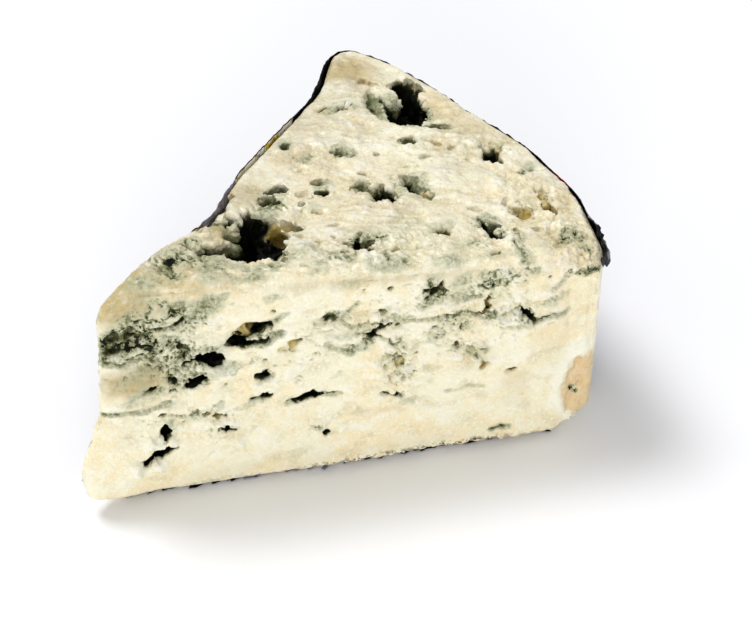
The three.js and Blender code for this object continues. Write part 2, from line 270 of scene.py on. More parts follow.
# Pits: name, place, length, width, depth, turn. On the top the place is x and y, on the
# main cut x and height.
cheeseLook = {
    "voxel": 0.34,
    "faces": 196000,
    "topPits": [
        ("brokenEdge", 28.4, 23.4, 17, 5.0, 3.4, 50),
        ("great", 34.6, 10.9, 9.4, 7.6, 11, 4), ("greatMid", 34.0, 13.6, 8.6, 7.4, 11, 20), ("greatFar", 34.6, 18.2, 4.6, 8.4, 10, 0),
        ("greatLeft", 28.4, 11.3, 8.4, 3.2, 8, 14), ("greatSlope", 38.8, 16.6, 7.4, 4.0, 4.0, -6),
        ("greatNotch", 30.6, 20.6, 6.0, 1.4, 5, -35), ("greatLow", 36.8, 8.0, 4.2, 1.6, 2.4, 0),
        ("far", 72.8, 51.8, 6.8, 7.8, 10, 0), ("farRight", 75.0, 53.4, 4.0, 5.6, 8, 0), ("farUpper", 75.6, 59.6, 5.4, 6.6, 10, 0),
        ("farSlot", 74.6, 56.0, 4.6, 4.6, 9, 0), ("farShelf", 67.0, 54.6, 5.4, 8.0, 2.3, 0), ("farSeam", 69.6, 54.4, 1.4, 6.8, 7, 4),
        ("farCorner", 71.4, 48.6, 4.6, 2.6, 6, 0), ("farSlit", 78.2, 45.4, 5.4, 1.9, 3.5, -8), ("farHole", 71.7, 41.2, 3.6, 2.6, 4, 0),
        ("rindHole", 86.4, 35.6, 6.6, 5.4, 7, 35), ("rindHoleTail", 89, 37.8, 4.6, 2.2, 1.6, 40),
        ("middle", 61.4, 23.8, 6.0, 5.0, 7, -15), ("middleSide", 58.4, 26.2, 4, 3.4, 2.0, 20),
        ("neighbour", 68.8, 25.2, 4.2, 4.6, 6, 20), ("neighbourSide", 70.2, 23.6, 3.0, 3.2, 3, 0), ("neighbourTop", 67.6, 28.2, 3.0, 2.0, 4, -20),
        ("cleanBowl", 87.4, 17.2, 4.4, 3.6, 3.0, -40), ("cleanLip", 85.8, 18.8, 3.6, 2.8, 1.4, -40),
        ("nearRindSlit", 79.3, 10.6, 5.4, 2.6, 4, -50), ("nearRindArm", 81.0, 12.2, 2.6, 2.0, 3, 20),
        ("nearHole", 70.2, 11.0, 3.6, 2.2, 3, -10), ("leftSlit", 42.0, 27.8, 4.8, 1.5, 3.6, 35),
        ("leftHole", 39.2, 24.3, 3.0, 2.0, 3.2, 20), ("frontSlit", 53.8, 8.3, 5.2, 2.0, 3, -40), ("frontArm", 55.8, 9.2, 3, 1.6, 2.4, 10),
        ("dotA", 50.3, 29.0, 2.6, 1.7, 2.5, 20), ("dotB", 50.6, 25.6, 2.8, 1.6, 2.2, 10),
        ("dotC", 45.7, 22.7, 1.4, 1.3, 1.4, 0), ("dotD", 48.3, 20.1, 1.4, 1.2, 1.2, 0),
        ("dotE", 61.2, 61.6, 1.6, 1.6, 1.6, 0), ("slitE", 60.8, 53.2, 4.0, 1.8, 2, 20),
        ("slitF", 56.4, 53.6, 3.6, 1.2, 1.4, 20), ("ochreA", 67.3, 61.9, 3.0, 2.4, 1.8, 0),
        ("ochreB", 76.2, 39.8, 2.0, 1.6, 1, 0), ("ochreC", 81.4, 33.5, 2.2, 1.6, 1.2, 0),
        ("ringA", 57.1, 38.4, 4.6, 3.0, 0.9, -15), ("ringB", 49.3, 37.2, 4, 2.6, 0.7, 0),
        ("ringC", 73.1, 35.1, 2.8, 1.6, 0.9, 0), ("ringD", 37.3, 7.0, 2.6, 2, 1.2, 0), ("ringDot", 38.6, 6.4, 1.4, 1.2, 1.6, 0),
        ("foilDot", 46.1, 41.6, 3.0, 2, 2.4, 30), ("crackA", 92.9, 21.0, 0.9, 4.4, 2.4, -15),
        ("crackB", 93.3, 16.9, 1.0, 3.4, 2.2, 20), ("edgeSlit", 78.6, 3.4, 3.4, 1.0, 1.4, 20),
    ],
    "cutPits": [
        ("pocket", 29.9, 38.9, 6.2, 3.2, 1.5, 20), ("pocketDark", 33.0, 40.0, 3.4, 2.4, 7, 20),
        ("pocketLine", 30.8, 36.6, 7.6, 1.0, 3.4, -4), ("dark", 23.6, 33.2, 5.0, 3.0, 6, -10), ("darkArm", 20.6, 34.6, 5, 1.0, 3, 14),
        ("darkTail", 20.5, 29.0, 3.6, 1.7, 5, 14), ("mould", 11.6, 28.6, 4.4, 1.9, 4.5, 24),
        ("band", 7.6, 41.5, 11, 6, 0.45, 4), ("bandA", 8.6, 43.0, 2.2, 1.6, 2.4, 30), ("bandB", 4.4, 39.6, 4.0, 1.6, 2.4, -6),
        ("bandC", 5.0, 42.4, 2.4, 1.8, 2.4, 60), ("bandD", 11.2, 42.4, 3.2, 1.4, 2, 0),
        ("fold", 14.6, 43.1, 4.8, 0.9, 4, 10), ("foldUp", 17.5, 44.5, 2.8, 1.0, 3.5, 48), ("shaft", 13.9, 17.0, 2.0, 4.6, 5, -6),
        ("low", 12.4, 12.3, 6.4, 2.4, 5, 27), ("lowEnd", 9.9, 10.6, 2.6, 2.2, 3.6, 50),
        ("slit", 25.5, 15.5, 3.8, 1.5, 4.5, 12), ("slitUp", 26.2, 16.7, 2.2, 0.9, 3, 10), ("middleSlit", 32.4, 22.7, 4.2, 1.8, 5, 12),
        ("middleTop", 33.0, 23.8, 1.6, 1.4, 3.4, 30), ("dot", 33.0, 27.6, 3.0, 2.1, 5, -16), ("crack", 41.0, 20.6, 3.4, 1.1, 5, 14),
        ("crackEnd", 43.6, 20.6, 2.8, 0.6, 3, -3), ("crackUp", 42.6, 21.6, 0.8, 2.2, 2.4, -20), ("crackStart", 39.0, 19.8, 1.6, 0.6, 1.6, 34),
        ("ochreA", 24.0, 19.4, 3.0, 1.9, 3.0, 5), ("ochreB", 39.2, 35.2, 3.0, 1.4, 3.0, 0),
        ("ochreC", 36.9, 33.9, 1.9, 1.2, 1.4, 0), ("ochreD", 39.1, 34.0, 1.1, 2.2, 2.0, 0),
        ("thin", 58.2, 18.2, 4.6, 0.9, 2.2, -14), ("ring", 46.1, 40.1, 4, 1.7, 0.8, 14),
        ("upper", 54.3, 34, 2.2, 2.2, 2.8, 40), ("upperB", 55.8, 35.3, 2.2, 1.4, 2.2, 40),
        ("blue", 66.6, 42.7, 2.6, 1.1, 2.0, 25), ("blueB", 65.2, 41.6, 1.5, 0.9, 1.6, 60),
        ("blueC", 67.8, 44.4, 1.0, 2.4, 1.8, -14), ("blueD", 64.4, 43.2, 2.4, 0.8, 1.4, -20), ("right", 84.0, 33.9, 3.0, 1.3, 1.7, -28),
        ("rightB", 85.4, 31.8, 0.9, 2.2, 1.2, 24), ("rightC", 87.8, 32.1, 1.6, 1.1, 1.6, 0), ("rightD", 81.6, 35.2, 1.0, 2.2, 1.6, 20),
        ("olive", 77.2, 37.6, 1.0, 4.4, 2.0, -24), ("tinyA", 75.9, 42.8, 1, 0.9, 1.2, 0),
        ("tinyB", 77.8, 42.6, 0.9, 0.8, 1, 0), ("tinyC", 81.4, 44.0, 2.2, 0.8, 1.2, 30), ("tinyD", 83.9, 46.2, 0.9, 3.2, 1.6, -14),
        ("patchA", 66.5, 34, 1.6, 1.2, 1.6, 40), ("patchB", 72.2, 32.9, 1.4, 1, 1.4, -30), ("oliveB", 76.2, 21.7, 1.5, 2, 1.4, 0),
        ("oliveC", 59.3, 25.5, 2.2, 1.2, 1.6, 20), ("lowDot", 45.0, 10.2, 2.0, 1.3, 3, -30), ("lowDotB", 42.0, 10.2, 1.4, 0.7, 1.4, 20),
        ("footCrack", 79.6, 4.6, 3.6, 0.7, 1.2, 14), ("heel", 95.4, 12.2, 4.4, 14.5, 1.4, -8),
        ("heelDot", 94.2, 11.6, 1.2, 0.9, 2.6, 0), ("heelDotB", 95.6, 11.0, 1.0, 0.8, 2.4, 20), ("heelCrack", 96.6, 7.4, 0.8, 5.0, 1.2, -10), ("smallA", 17.6, 19.6, 2.4, 0.9, 1, 15),
        ("smallB", 11.6, 36.4, 7, 0.9, 1.8, 10), ("smallC", 22.2, 41.2, 1.4, 1, 1, 0), ("smallD", 18.2, 38.4, 2.4, 0.8, 1.6, -20),
        ("smallE", 16.4, 32.2, 2.0, 0.9, 1.6, 30), ("smallF", 27.0, 22.4, 2.6, 0.7, 1.0, 24), ("smallG", 22.0, 20.4, 1.6, 0.9, 1.2, 10),
        ("smallH", 62.6, 31.0, 1.2, 0.8, 1.2, 0), ("smallI", 60.2, 21.4, 1.0, 1.4, 1.2, 0), ("smallJ", 71.0, 28.0, 0.9, 1.3, 1.2, 10),
    ],
    "pins": [(True, 70, 0.6, 1.5), (False, 90, 0.5, 1.1)],
}


# One pit to cut away: a ball with flats struck off it, roughened, at its place in the wheel.
def addPitLump(name, onTop, a, b, long, wide, deep, turn, detail, salt):
    bpy.ops.mesh.primitive_ico_sphere_add(subdivisions=detail, radius=1)
    lump = bpy.context.object
    lump.name = name
    points = pointsOf(lump)
    pick = np.random.default_rng(salt)
    flats = pick.normal(size=(3 if name.startswith("clean") else 8, 3))
    flats /= np.linalg.norm(flats, axis=1)[:, None]
    facing = points @ flats.T
    reach = np.where(facing > 0.15, pick.uniform(0.66, 0.98, len(flats)) / np.maximum(facing, 0.15), 1.5).min(axis=1)
    rough = grain(points, (2.0, 2.0, 2.0), 3, salt) * (0.14 if name == "farShelf" else 0.36)
    points *= (np.minimum(reach, 1.0 if name.startswith("clean") else 1.3) + rough)[:, None]
    points *= np.array([long / 2, wide / 2, deep]) * 1.12
    c, s = math.cos(math.radians(turn)), math.sin(math.radians(turn))
    points = points @ np.array([[c, s, 0], [-s, c, 0], [0, 0, 1]])
    if onTop:
        points += np.array([a, b, crown(np.array([[a, b]]))[0]])
    else:
        points = np.stack([points[:, 0] + a, -points[:, 2], points[:, 1] + b], axis=1)
    setPoints(lump, toModel(points))
    return lump


def joinPieces(pieces, name):
    deselectAll()
    for piece in pieces:
        piece.select_set(True)
    bpy.context.view_layer.objects.active = pieces[0]
    bpy.ops.object.join()
    joined = bpy.context.object
    joined.name = name
    return joined


# Takes the pits out of the body. Pits that may overlap are cut in separate turns.
def cutInTurns(body, lumps):
    turns = []
    for lump in lumps:
        points = pointsOf(lump)
        low, high = points.min(axis=0), points.max(axis=0)
        for turn in turns:
            if all(np.any(low > otherHigh) or np.any(high < otherLow) for _, otherLow, otherHigh in turn):
                turn.append((lump, low, high))
                break
        else:
            turns.append([(lump, low, high)])
    for turn in turns:
        cutter = joinPieces([lump for lump, low, high in turn], "pitCutter")
        applyModifier(body, "BOOLEAN", operation="DIFFERENCE", solver="MANIFOLD", object=cutter)
        bpy.data.objects.remove(cutter)
    print("cut in", len(turns), "turns")


# The plain wedge: its outline drawn up to full height, then rounded and domed.
def plainWedge():
    rim = planOutline(260)
    deselectAll()
    bpy.ops.mesh.primitive_circle_add(vertices=len(rim), radius=1, fill_type="NGON")
    body = bpy.context.object
    body.name = "cheesePaste"
    flat = np.column_stack([rim, np.full(len(rim), wheel["foot"])])
    setPoints(body, toModel(flat))
    bpy.ops.object.mode_set(mode="EDIT")
    bpy.ops.mesh.select_all(action="SELECT")
    bpy.ops.mesh.extrude_region_move(TRANSFORM_OT_translate={"value": (0, 0, 0.05)})
    bpy.ops.mesh.select_all(action="SELECT")
    bpy.ops.mesh.normals_make_consistent(inside=False)
    bpy.ops.object.mode_set(mode="OBJECT")
    applyModifier(body, "REMESH", mode="VOXEL", voxel_size=0.00085)
    shapeWedge(body)
    return body


# Rounds each edge by its own radius, lays the top on the wheel's dome, leans the rind in
# and lets the soft tip spread at its foot.
def shapeWedge(body):
    points = toWheel(pointsOf(body))
    full = 50.0
    low = points[:, 2] - wheel["foot"]
    inset = insetOf(points)
    heart = np.array(wheel["heart"])
    away = points[:, :2] - heart
    rind, front, tip = rindness(points), frontness(points), tipness(points)
    topRound = 1.5 + 2.1 * front + 2.4 * tip
    footRound = footRounding(points)
    for near, radius, up in ((full - low, topRound, 1), (low, footRound, -1)):
        a = np.clip(radius - near, 0, None)
        b = np.clip(radius - inset, 0, None)
        reach = np.hypot(a, b)
        over = (reach > radius) & (a > 0) & (b > 0)
        share = np.where(over, radius / np.maximum(reach, 1e-9), 1)
        low = low + np.where(over, -up * (a - a * share), 0)
        points[:, :2] -= away * (np.where(over, b - b * share, 0) / 28)[:, None]
    height = crown(points) - wheel["foot"]
    z = low / full * height
    lean = wheel["rindTaper"] * rind * (1 - z / 43.6)
    flare = wheel["tipFlare"] * tip * np.exp(-((z - wheel["flareHeight"]) / wheel["flareReach"]) ** 2)
    edge = np.exp(-inset / 9)
    points[:, :2] -= away * ((lean - flare) * edge / 28)[:, None]
    points[:, 2] = z + wheel["foot"]
    setPoints(body, toModel(points))


# Where mould and colour sit. Spots: place, half length, half width, turn, strength.
# Cracks: the points that one follows, width, depth, mould along it.
markLook = {
    "cutMould": [
        (15.0, 37.0, 15.0, 10.0, 8, 0.24), (12.0, 27.0, 9.0, 3.0, 10, 0.3), (72.0, 42.0, 12.0, 6.0, 0, 0.2),
        (94.4, 10.6, 0.6, 0.5, 20, 1.9), (95.8, 10.2, 0.6, 0.5, 0, 1.6), (95.4, 12.0, 0.5, 0.4, 0, 1.5), (9.0, 31.5, 7.0, 4.0, 0, 0.3),
        (13.0, 47.0, 10.0, 4.4, 8, 0.5), (19.5, 45.0, 6.0, 3.2, 24, 0.8), (23.0, 48.0, 5.0, 3.0, 30, 0.7), (17.0, 48.6, 3.0, 2.0, 30, 0.8), (16.0, 40.4, 4.6, 2.4, 10, 0.66),
        (13.0, 44.4, 5.0, 2.0, 0, 0.66), (24.4, 30.6, 4.6, 2.4, 20, 0.4), (10.0, 34.0, 6.0, 1.8, 5, 0.46), (7.5, 42.0, 7.0, 4.2, 3, 1.5), (4.6, 39.8, 3.0, 2.2, 0, 1.6), (12.6, 40.0, 3.5, 2.2, 10, 0.9),
        (17.0, 35.5, 8.5, 5.4, 15, 0.52), (17.5, 30.2, 7.0, 3.8, 20, 0.46), (10.0, 46.4, 6.0, 2.0, 10, 0.42),
        (26.0, 37.0, 5.0, 3.4, 0, 0.34), (15.0, 24.6, 5.0, 1.6, 10, 0.34), (49.0, 36.0, 6.0, 3.0, 0, 0.3),
        (59.0, 27.0, 3.6, 7.0, 0, 0.32), (70.0, 34.6, 6.0, 3.0, 0, 0.34), (89.0, 36.0, 3.4, 2.6, 0, 0.26),
        (8.8, 43.4, 2.2, 1.4, 20, 1.2), (4.4, 39.4, 2.6, 1.2, 0, 1.2), (12.0, 41.4, 2.0, 1.0, 0, 1.1), (22.8, 35.0, 3.6, 2.4, 20, 0.75),
        (11.4, 28.8, 3.6, 2.0, 15, 0.8), (8.5, 27.0, 5.0, 2.4, 10, 0.42), (19.0, 42.6, 6.0, 2.0, 10, 0.36),
        (30.4, 38.6, 5.4, 3.2, 12, 0.72), (35.4, 38.0, 2.6, 1.2, 20, 0.5), (26.5, 32.0, 3.0, 2.0, 10, 0.42),
        (20.5, 28.2, 3.0, 1.8, 10, 0.66), (23.5, 21.5, 3.0, 1.2, 30, 0.4), (30.0, 21.0, 3.0, 1.2, 20, 0.45),
        (14.4, 18.6, 2.4, 3.0, 0, 0.42), (12.5, 12.2, 4.0, 1.6, 27, 0.6), (18.6, 19.8, 3.4, 1.2, 20, 0.4),
        (25.4, 15.6, 2.8, 1.5, 15, 0.5), (32.4, 22.8, 3.0, 1.4, 10, 0.5), (42.0, 20.6, 5.0, 1.2, 4, 0.42),
        (33.2, 27.4, 1.8, 1.4, 0, 0.4), (46.1, 40.1, 3.4, 1.7, 8, 0.62), (50.5, 31.2, 4.6, 1.6, -5, 0.5),
        (54.4, 34.4, 2.6, 2.0, 30, 0.6), (57.8, 28.0, 2.0, 3.0, 15, 0.36), (61.0, 37.2, 3.4, 1.5, 0, 0.45),
        (66.6, 42.6, 4.0, 3.0, 20, 0.8), (66.0, 44.6, 3.0, 3.4, 0, 0.5), (72.5, 40.6, 5.0, 2.0, -8, 0.56), (72.0, 44.0, 4.0, 2.6, 0, 0.4),
        (79.5, 44.6, 6.6, 4.0, -6, 0.5), (76.5, 42.6, 3.0, 2.0, 0, 0.55), (85.0, 45.5, 1.8, 2.6, 0, 0.5), (81.0, 47.4, 6.0, 2.0, 0, 0.4),
        (67.2, 32.2, 3.0, 2.2, 0, 0.6), (72.6, 32.6, 3.4, 1.8, 10, 0.5), (79.0, 34.6, 3.4, 2.0, 0, 0.4),
        (84.6, 33.0, 3.6, 2.6, -10, 0.52), (74.0, 25.8, 3.0, 2.2, 0, 0.46), (60.0, 22.8, 2.2, 2.8, 0, 0.4),
        (62.0, 16.0, 3.4, 1.2, 20, 0.3), (45.0, 11.0, 3.2, 1.6, -20, 0.34), (52.0, 15.0, 3.2, 1.4, 10, 0.28),
        (36.0, 47.0, 3.0, 1.4, 0, 0.5), (50.0, 47.6, 5.0, 1.6, 0, 0.34), (56.6, 40.2, 2.4, 1.6, 30, 0.36),
        (24.0, 47.4, 3.2, 1.8, 0, 0.5), (15.0, 48.5, 3.4, 2.4, 0, 0.62), (96.6, 41.8, 2.2, 1.0, 10, 0.66),
        (40.0, 30.0, 2.0, 1.2, 0, 0.26), (92.6, 40.8, 2.4, 0.8, 40, 0.36), (47.6, 25.2, 1.6, 1.0, 30, 0.3),
    ],
    "topMould": [
        (25.0, 5.6, 4.6, 2.2, 0, 0.8), (36.0, 4.0, 4.0, 1.6, 0, 0.64), (31.0, 2.4, 6.0, 1.8, 0, 0.5), (44.6, 2.0, 3.0, 1.4, 0, 0.4),
        (18.6, 9.2, 2.4, 2.6, 30, 0.95), (21.7, 12.6, 2.6, 2.4, 30, 1.0), (20.0, 8.0, 6.5, 5.0, 35, 0.46),
        (25.0, 9.0, 6.0, 4.4, 0, 0.5), (28.0, 16.5, 4.0, 3.6, 0, 0.34), (33.0, 5.0, 7.0, 1.6, -6, 0.5),
        (38.0, 9.0, 2.6, 2.6, 0, 0.8), (12.0, 3.6, 8.0, 4.0, 20, 0.42), (15.6, 9.6, 3.4, 2.2, 40, 0.5), (42.0, 8.0, 5.0, 3.0, 0, 0.4),
        (58.0, 3.0, 8.0, 2.4, 0, 0.44), (70.0, 2.6, 7.0, 2.4, 0, 0.4), (24.0, 3.0, 5.0, 2.0, 0, 0.5), (85.0, 8.4, 3.0, 2.6, 0, 0.4), (75.0, 6.0, 5.0, 2.6, 0, 0.36), (40.5, 24.8, 3.6, 3.4, 40, 0.6),
        (38.0, 20.6, 3.0, 2.4, 0, 0.5), (50.4, 27.4, 2.8, 3.4, 0, 0.56), (46.6, 21.6, 3.6, 2.2, 0, 0.34),
        (58.2, 26.2, 3.4, 2.6, 20, 0.66), (62.0, 23.0, 4.4, 4.2, 0, 0.5), (68.0, 26.4, 4.0, 4.8, 20, 0.56),
        (54.6, 9.0, 3.6, 2.2, -30, 0.7), (57.6, 10.6, 4.2, 2.6, 0, 0.6), (48.0, 6.0, 6.0, 2.2, 0, 0.34),
        (70.0, 11.6, 3.0, 2.6, 0, 0.4), (79.0, 11.2, 3.2, 2.6, -30, 0.66), (81.0, 14.2, 2.6, 2.4, 0, 0.5),
        (83.6, 4.4, 2.2, 4.0, 20, 0.5), (78.4, 3.0, 5.0, 2.2, 0, 0.4), (69.0, 54.0, 4.6, 5.6, 0, 0.62),
        (73.4, 50.6, 5.4, 5.8, 0, 0.7), (58.8, 53.0, 4.4, 2.2, 20, 0.6), (61.4, 53.6, 2.6, 2.0, 0, 0.5),
        (57.0, 38.2, 3.4, 2.2, -15, 0.66), (49.3, 37.2, 2.8, 1.8, 0, 0.4), (46.1, 42.0, 2.6, 2.4, 30, 0.6),
        (71.6, 41.0, 2.8, 2.2, 0, 0.5), (77.8, 45.4, 4.0, 2.0, 0, 0.56), (73.0, 34.8, 2.0, 1.2, 0, 0.5),
        (92.0, 29.4, 4.6, 1.8, 50, 0.5), (95.6, 8.0, 2.0, 4.0, 0, 0.66), (96.6, 4.6, 2.4, 2.0, 0, 0.62),
        (63.6, 17.8, 1.6, 1.2, 0, 0.4), (66.4, 13.4, 2.6, 1.6, 0, 0.3), (44.0, 4.2, 4.0, 1.8, 0, 0.4),
        (86.0, 27.0, 2.0, 1.6, 0, 0.26), (65.8, 46.0, 1.8, 1.4, 0, 0.26), (60.0, 4.6, 4.4, 2.0, 0, 0.36),
    ],
    "cutTan": [
        (9.0, 31.5, 8.0, 4.6, 0, 1.2), (6.0, 49.0, 12.0, 4.0, 0, 1.1), (96.6, 5.0, 1.6, 4.0, 20, 0.7), (90.0, 27.0, 5.0, 13.0, 0, 0.2),
        (83.0, 15.5, 4.0, 5.0, 0, 0.3), (60.0, 48.0, 30.0, 2.5, -5, 0.5),
        (40.0, 4.0, 40.0, 3.0, 0, 0.15), (75.0, 24.0, 4.0, 3.0, 0, 0.3),
    ],
    "topTan": [
        (64.0, 67.0, 7.0, 8.0, 0, 1.0), (82.0, 48.0, 5.0, 16.0, 30, 0.4), (94.0, 22.0, 5.0, 14.0, 10, 0.45),
        (92.0, 6.0, 7.0, 6.0, 0, 0.5), (44.0, 36.0, 4.0, 8.0, -30, 0.3), (36.0, 26.0, 4.0, 6.0, -30, 0.5), (56.0, 50.0, 4.0, 6.0, -30, 0.3),
        (9.0, 5.0, 12.0, 8.0, 30, 1.2), (28.5, 16.0, 3.4, 3.0, 0, 1.2), (21.0, 4.0, 8.0, 5.0, 10, 0.8), (30.0, 24.0, 9.0, 3.0, 50, 0.7), (78.0, 38.0, 6.0, 5.0, 0, 0.3),
    ],
    "cutClean": [(24.0, 19.4, 2.6, 1.8, 5), (39.1, 35.3, 2.0, 1.3, 0), (36.8, 33.9, 1.2, 1, 0), (39.2, 33.6, 0.9, 2, 0),
                 (76.2, 21.7, 1.4, 1.8, 0), (59.3, 25.5, 1.6, 1.2, 0), (29.6, 38.9, 3.0, 1.7, 20),
                 (77.2, 37.6, 1.0, 2.2, 0)],
    "cutFresh": [(95.4, 12.2, 4.6, 11, -8), (14.4, 18.6, 1, 1, 0)],
    "topFresh": [(28.0, 24.2, 12, 3.6, 50), (85, 18.6, 3, 2.6, -40), (71.2, 57.0, 1.7, 2.2, 0)],
    "topClean": [(40.6, 17.4, 3.6, 1.8, -6), (76.4, 60.6, 2.0, 3.0, 0, 0.5), (87, 16.6, 4, 3.4, -40), (90.0, 38.6, 2.2, 1.8, 40), (67.3, 61.9, 2, 2, 0),
                 (76.2, 39.8, 1.6, 1.6, 0), (81.4, 33.5, 1.6, 1.6, 0), (93.2, 19, 2, 5, 0), (71.2, 24.6, 1.2, 1.6, 0, 0.6)],
    "cutCracks": [
        ([(1.0, 24.6), (6.0, 23.6), (11.0, 23.8), (15.0, 24.8)], 0.45, 0.8, 0.62),
        ([(3.0, 37.2), (6.5, 36.4), (10.0, 37.4), (13.6, 38.4)], 0.55, 0.8, 0.8),
        ([(12.4, 43.2), (15.4, 43.3), (17.2, 44.4), (18.4, 46.0)], 0.5, 1.4, 0.8),
        ([(26.6, 37.0), (30.0, 36.3), (34.4, 36.6), (36.8, 38.2)], 0.5, 1.2, 0.8),
        ([(33.4, 41.4), (35.6, 41.6), (38.2, 43.2)], 0.4, 0.7, 0.5),
        ([(16.0, 35.6), (18.6, 36.6), (20.8, 35.4), (24.0, 34.6)], 0.45, 1.0, 0.7),
        ([(14.0, 31.0), (17.0, 29.6), (20.0, 29.8)], 0.4, 0.8, 0.6),
        ([(15.0, 21.6), (18.0, 20.4), (21.6, 22.0), (25.0, 23.0)], 0.4, 0.6, 0.45),
        ([(38.0, 19.2), (41.0, 20.4), (44.0, 20.8), (48.0, 20.2)], 0.4, 1.0, 0.55),
        ([(48.6, 39.4), (49.6, 41.0), (51.4, 42.8)], 0.35, 0.8, 0.45),
        ([(44.0, 39.4), (48.0, 39.2), (50.6, 37.2), (53.0, 36.2), (56.0, 37.4), (59.0, 38.4)], 0.35, 0.6, 0.5),
        ([(52.0, 37.0), (57.0, 36.0), (62.0, 36.8), (67.0, 35.8), (71.0, 36.2), (75.4, 35.2)], 0.35, 0.7, 0.5),
        ([(45.6, 33.4), (47.0, 31.4), (50.0, 30.6), (52.8, 31.4), (54.2, 33.6)], 0.5, 0.5, 0.6),
        ([(55.4, 33.6), (57.6, 32.6), (59.0, 30.0), (58.6, 27.4), (59.2, 24.4), (57.0, 21.6)], 0.35, 0.6, 0.42),
        ([(56.0, 19.0), (58.0, 18.4), (60.2, 17.2)], 0.4, 0.8, 0.4),
        ([(67.2, 42.0), (69.6, 41.0), (72.4, 40.6), (75.2, 39.6)], 0.4, 0.8, 0.6),
        ([(65.6, 45.6), (66.4, 43.4), (65.2, 41.2)], 0.5, 1.0, 0.8),
        ([(77.8, 39.6), (76.8, 37.4), (76.4, 35.6)], 0.5, 1.0, 0.5),
        ([(74.0, 35.0), (78.0, 34.4), (81.6, 35.0), (84.4, 34.0)], 0.4, 0.8, 0.4),
        ([(82.6, 35.6), (84.6, 33.4), (86.4, 31.2), (88.4, 32.2), (92.8, 33.2)], 0.5, 0.9, 0.5),
        ([(80.0, 30.6), (83.0, 30.2), (85.6, 30.0)], 0.35, 0.5, 0.3),
        ([(69.0, 16.8), (72.6, 17.2), (76.4, 16.4)], 0.3, 0.4, 0.3),
        ([(89.0, 39.0), (91.0, 40.0), (92.8, 42.4)], 0.35, 0.5, 0.4),
        ([(94.8, 42.0), (96.0, 41.2), (97.4, 42.0), (98.6, 41.6)], 0.35, 0.6, 1.1),
        ([(78.0, 4.2), (79.6, 4.8), (81.6, 4.6)], 0.35, 0.8, 0.8),
        ([(22.0, 9.4), (24.6, 11.2), (27.2, 11.0)], 0.3, 0.4, 0.1),
        ([(62.0, 28.6), (64.0, 30.4), (66.6, 30.8)], 0.35, 0.5, 0.3),
        ([(71.0, 27.4), (73.4, 27.0), (75.0, 25.0), (76.2, 22.6)], 0.4, 0.6, 0.4),
        ([(64.4, 24.0), (66.4, 22.6), (68.0, 23.4)], 0.35, 0.5, 0.2),
    ],
    "topCracks": [
        ([(26.0, 18.8), (29.0, 17.6), (31.6, 18.8)], 0.6, 1.4, 0.8),
        ([(25.0, 12.0), (28.0, 9.8), (32.0, 7.4), (36.0, 8.4)], 0.5, 0.8, 0.5),
        ([(92.6, 22.8), (93.2, 20.0), (92.6, 18.6), (94.0, 15.0)], 0.5, 1.0, 0.1),
        ([(54.6, 12.0), (53.6, 9.4), (55.2, 7.4)], 0.5, 1.2, 0.8),
        ([(79.0, 13.6), (79.2, 11.4), (81.0, 9.4)], 0.6, 1.4, 0.8),
        ([(94.6, 9.4), (96.4, 8.8), (97.2, 6.4)], 0.4, 0.6, 0.8),
        ([(83.2, 6.4), (84.4, 4.0), (84.0, 1.6)], 0.5, 0.7, 0.7),
        ([(55.6, 39.6), (57.6, 37.4), (59.4, 37.8)], 0.4, 0.7, 0.6),
    ],
    "cutCrumb": [
        (8.0, 41.5, 8.0, 5.0, 3, 1.0), (17.0, 35.0, 8.0, 7.0, 15, 1.0), (18.0, 29.0, 6.0, 3.0, 15, 0.9),
        (22.0, 42.5, 7.0, 4.0, 0, 0.7), (31.0, 39.0, 7.0, 4.5, 12, 0.7), (46.0, 39.5, 5.0, 3.0, 0, 0.6),
        (52.0, 33.0, 5.0, 4.0, 0, 0.5), (55.0, 38.0, 6.0, 3.5, 0, 0.8), (59.0, 26.0, 5.0, 10.0, 0, 1.0),
        (66.0, 43.0, 5.0, 5.0, 0, 0.8), (69.0, 33.5, 7.0, 4.0, 0, 0.9), (80.5, 35.5, 8.5, 5.0, -5, 1.2),
        (79.0, 43.5, 8.0, 5.0, 0, 1.0), (73.0, 26.0, 5.0, 5.0, 0, 0.8), (25.0, 17.0, 4.5, 4.0, 0, 0.9),
        (43.0, 13.4, 4.0, 2.4, 0, 0.7), (13.0, 15.0, 5.0, 6.0, 0, 0.6), (20.0, 21.5, 7.0, 3.0, 0, 0.6),
        (88.0, 37.5, 5.0, 4.0, 0, 0.5), (64.0, 22.0, 4.0, 6.0, 0, 0.5), (33.0, 24.5, 4.0, 4.0, 0, 0.4),
        (45.0, 44.5, 12.0, 3.0, 0, 0.4), (94.0, 43.0, 4.0, 3.0, 0, 0.9), (12.0, 47.5, 8.0, 4.0, 0, 0.7),
    ],
    "topCrumb": [
        (19.0, 10.0, 8.0, 6.0, 30, 1.0), (29.0, 15.0, 6.0, 5.0, 0, 0.6), (36.0, 8.0, 8.0, 5.0, 0, 0.4),
        (41.0, 24.0, 6.0, 7.0, 0, 0.6), (60.0, 25.0, 10.0, 6.0, 0, 0.6), (70.0, 52.0, 11.0, 11.0, 0, 0.12),
        (56.0, 8.0, 18.0, 6.0, 0, 0.7), (80.0, 9.0, 8.0, 7.0, 0, 0.7), (94.0, 10.0, 6.0, 14.0, 0, 0.9),
        (84.0, 38.0, 8.0, 16.0, 30, 0.3), (50.0, 36.0, 8.0, 5.0, 0, 0.5), (90.0, 26.0, 7.0, 9.0, 0, 0.5),
    ],
    "bumps": [  # on the cut: place, half width, height
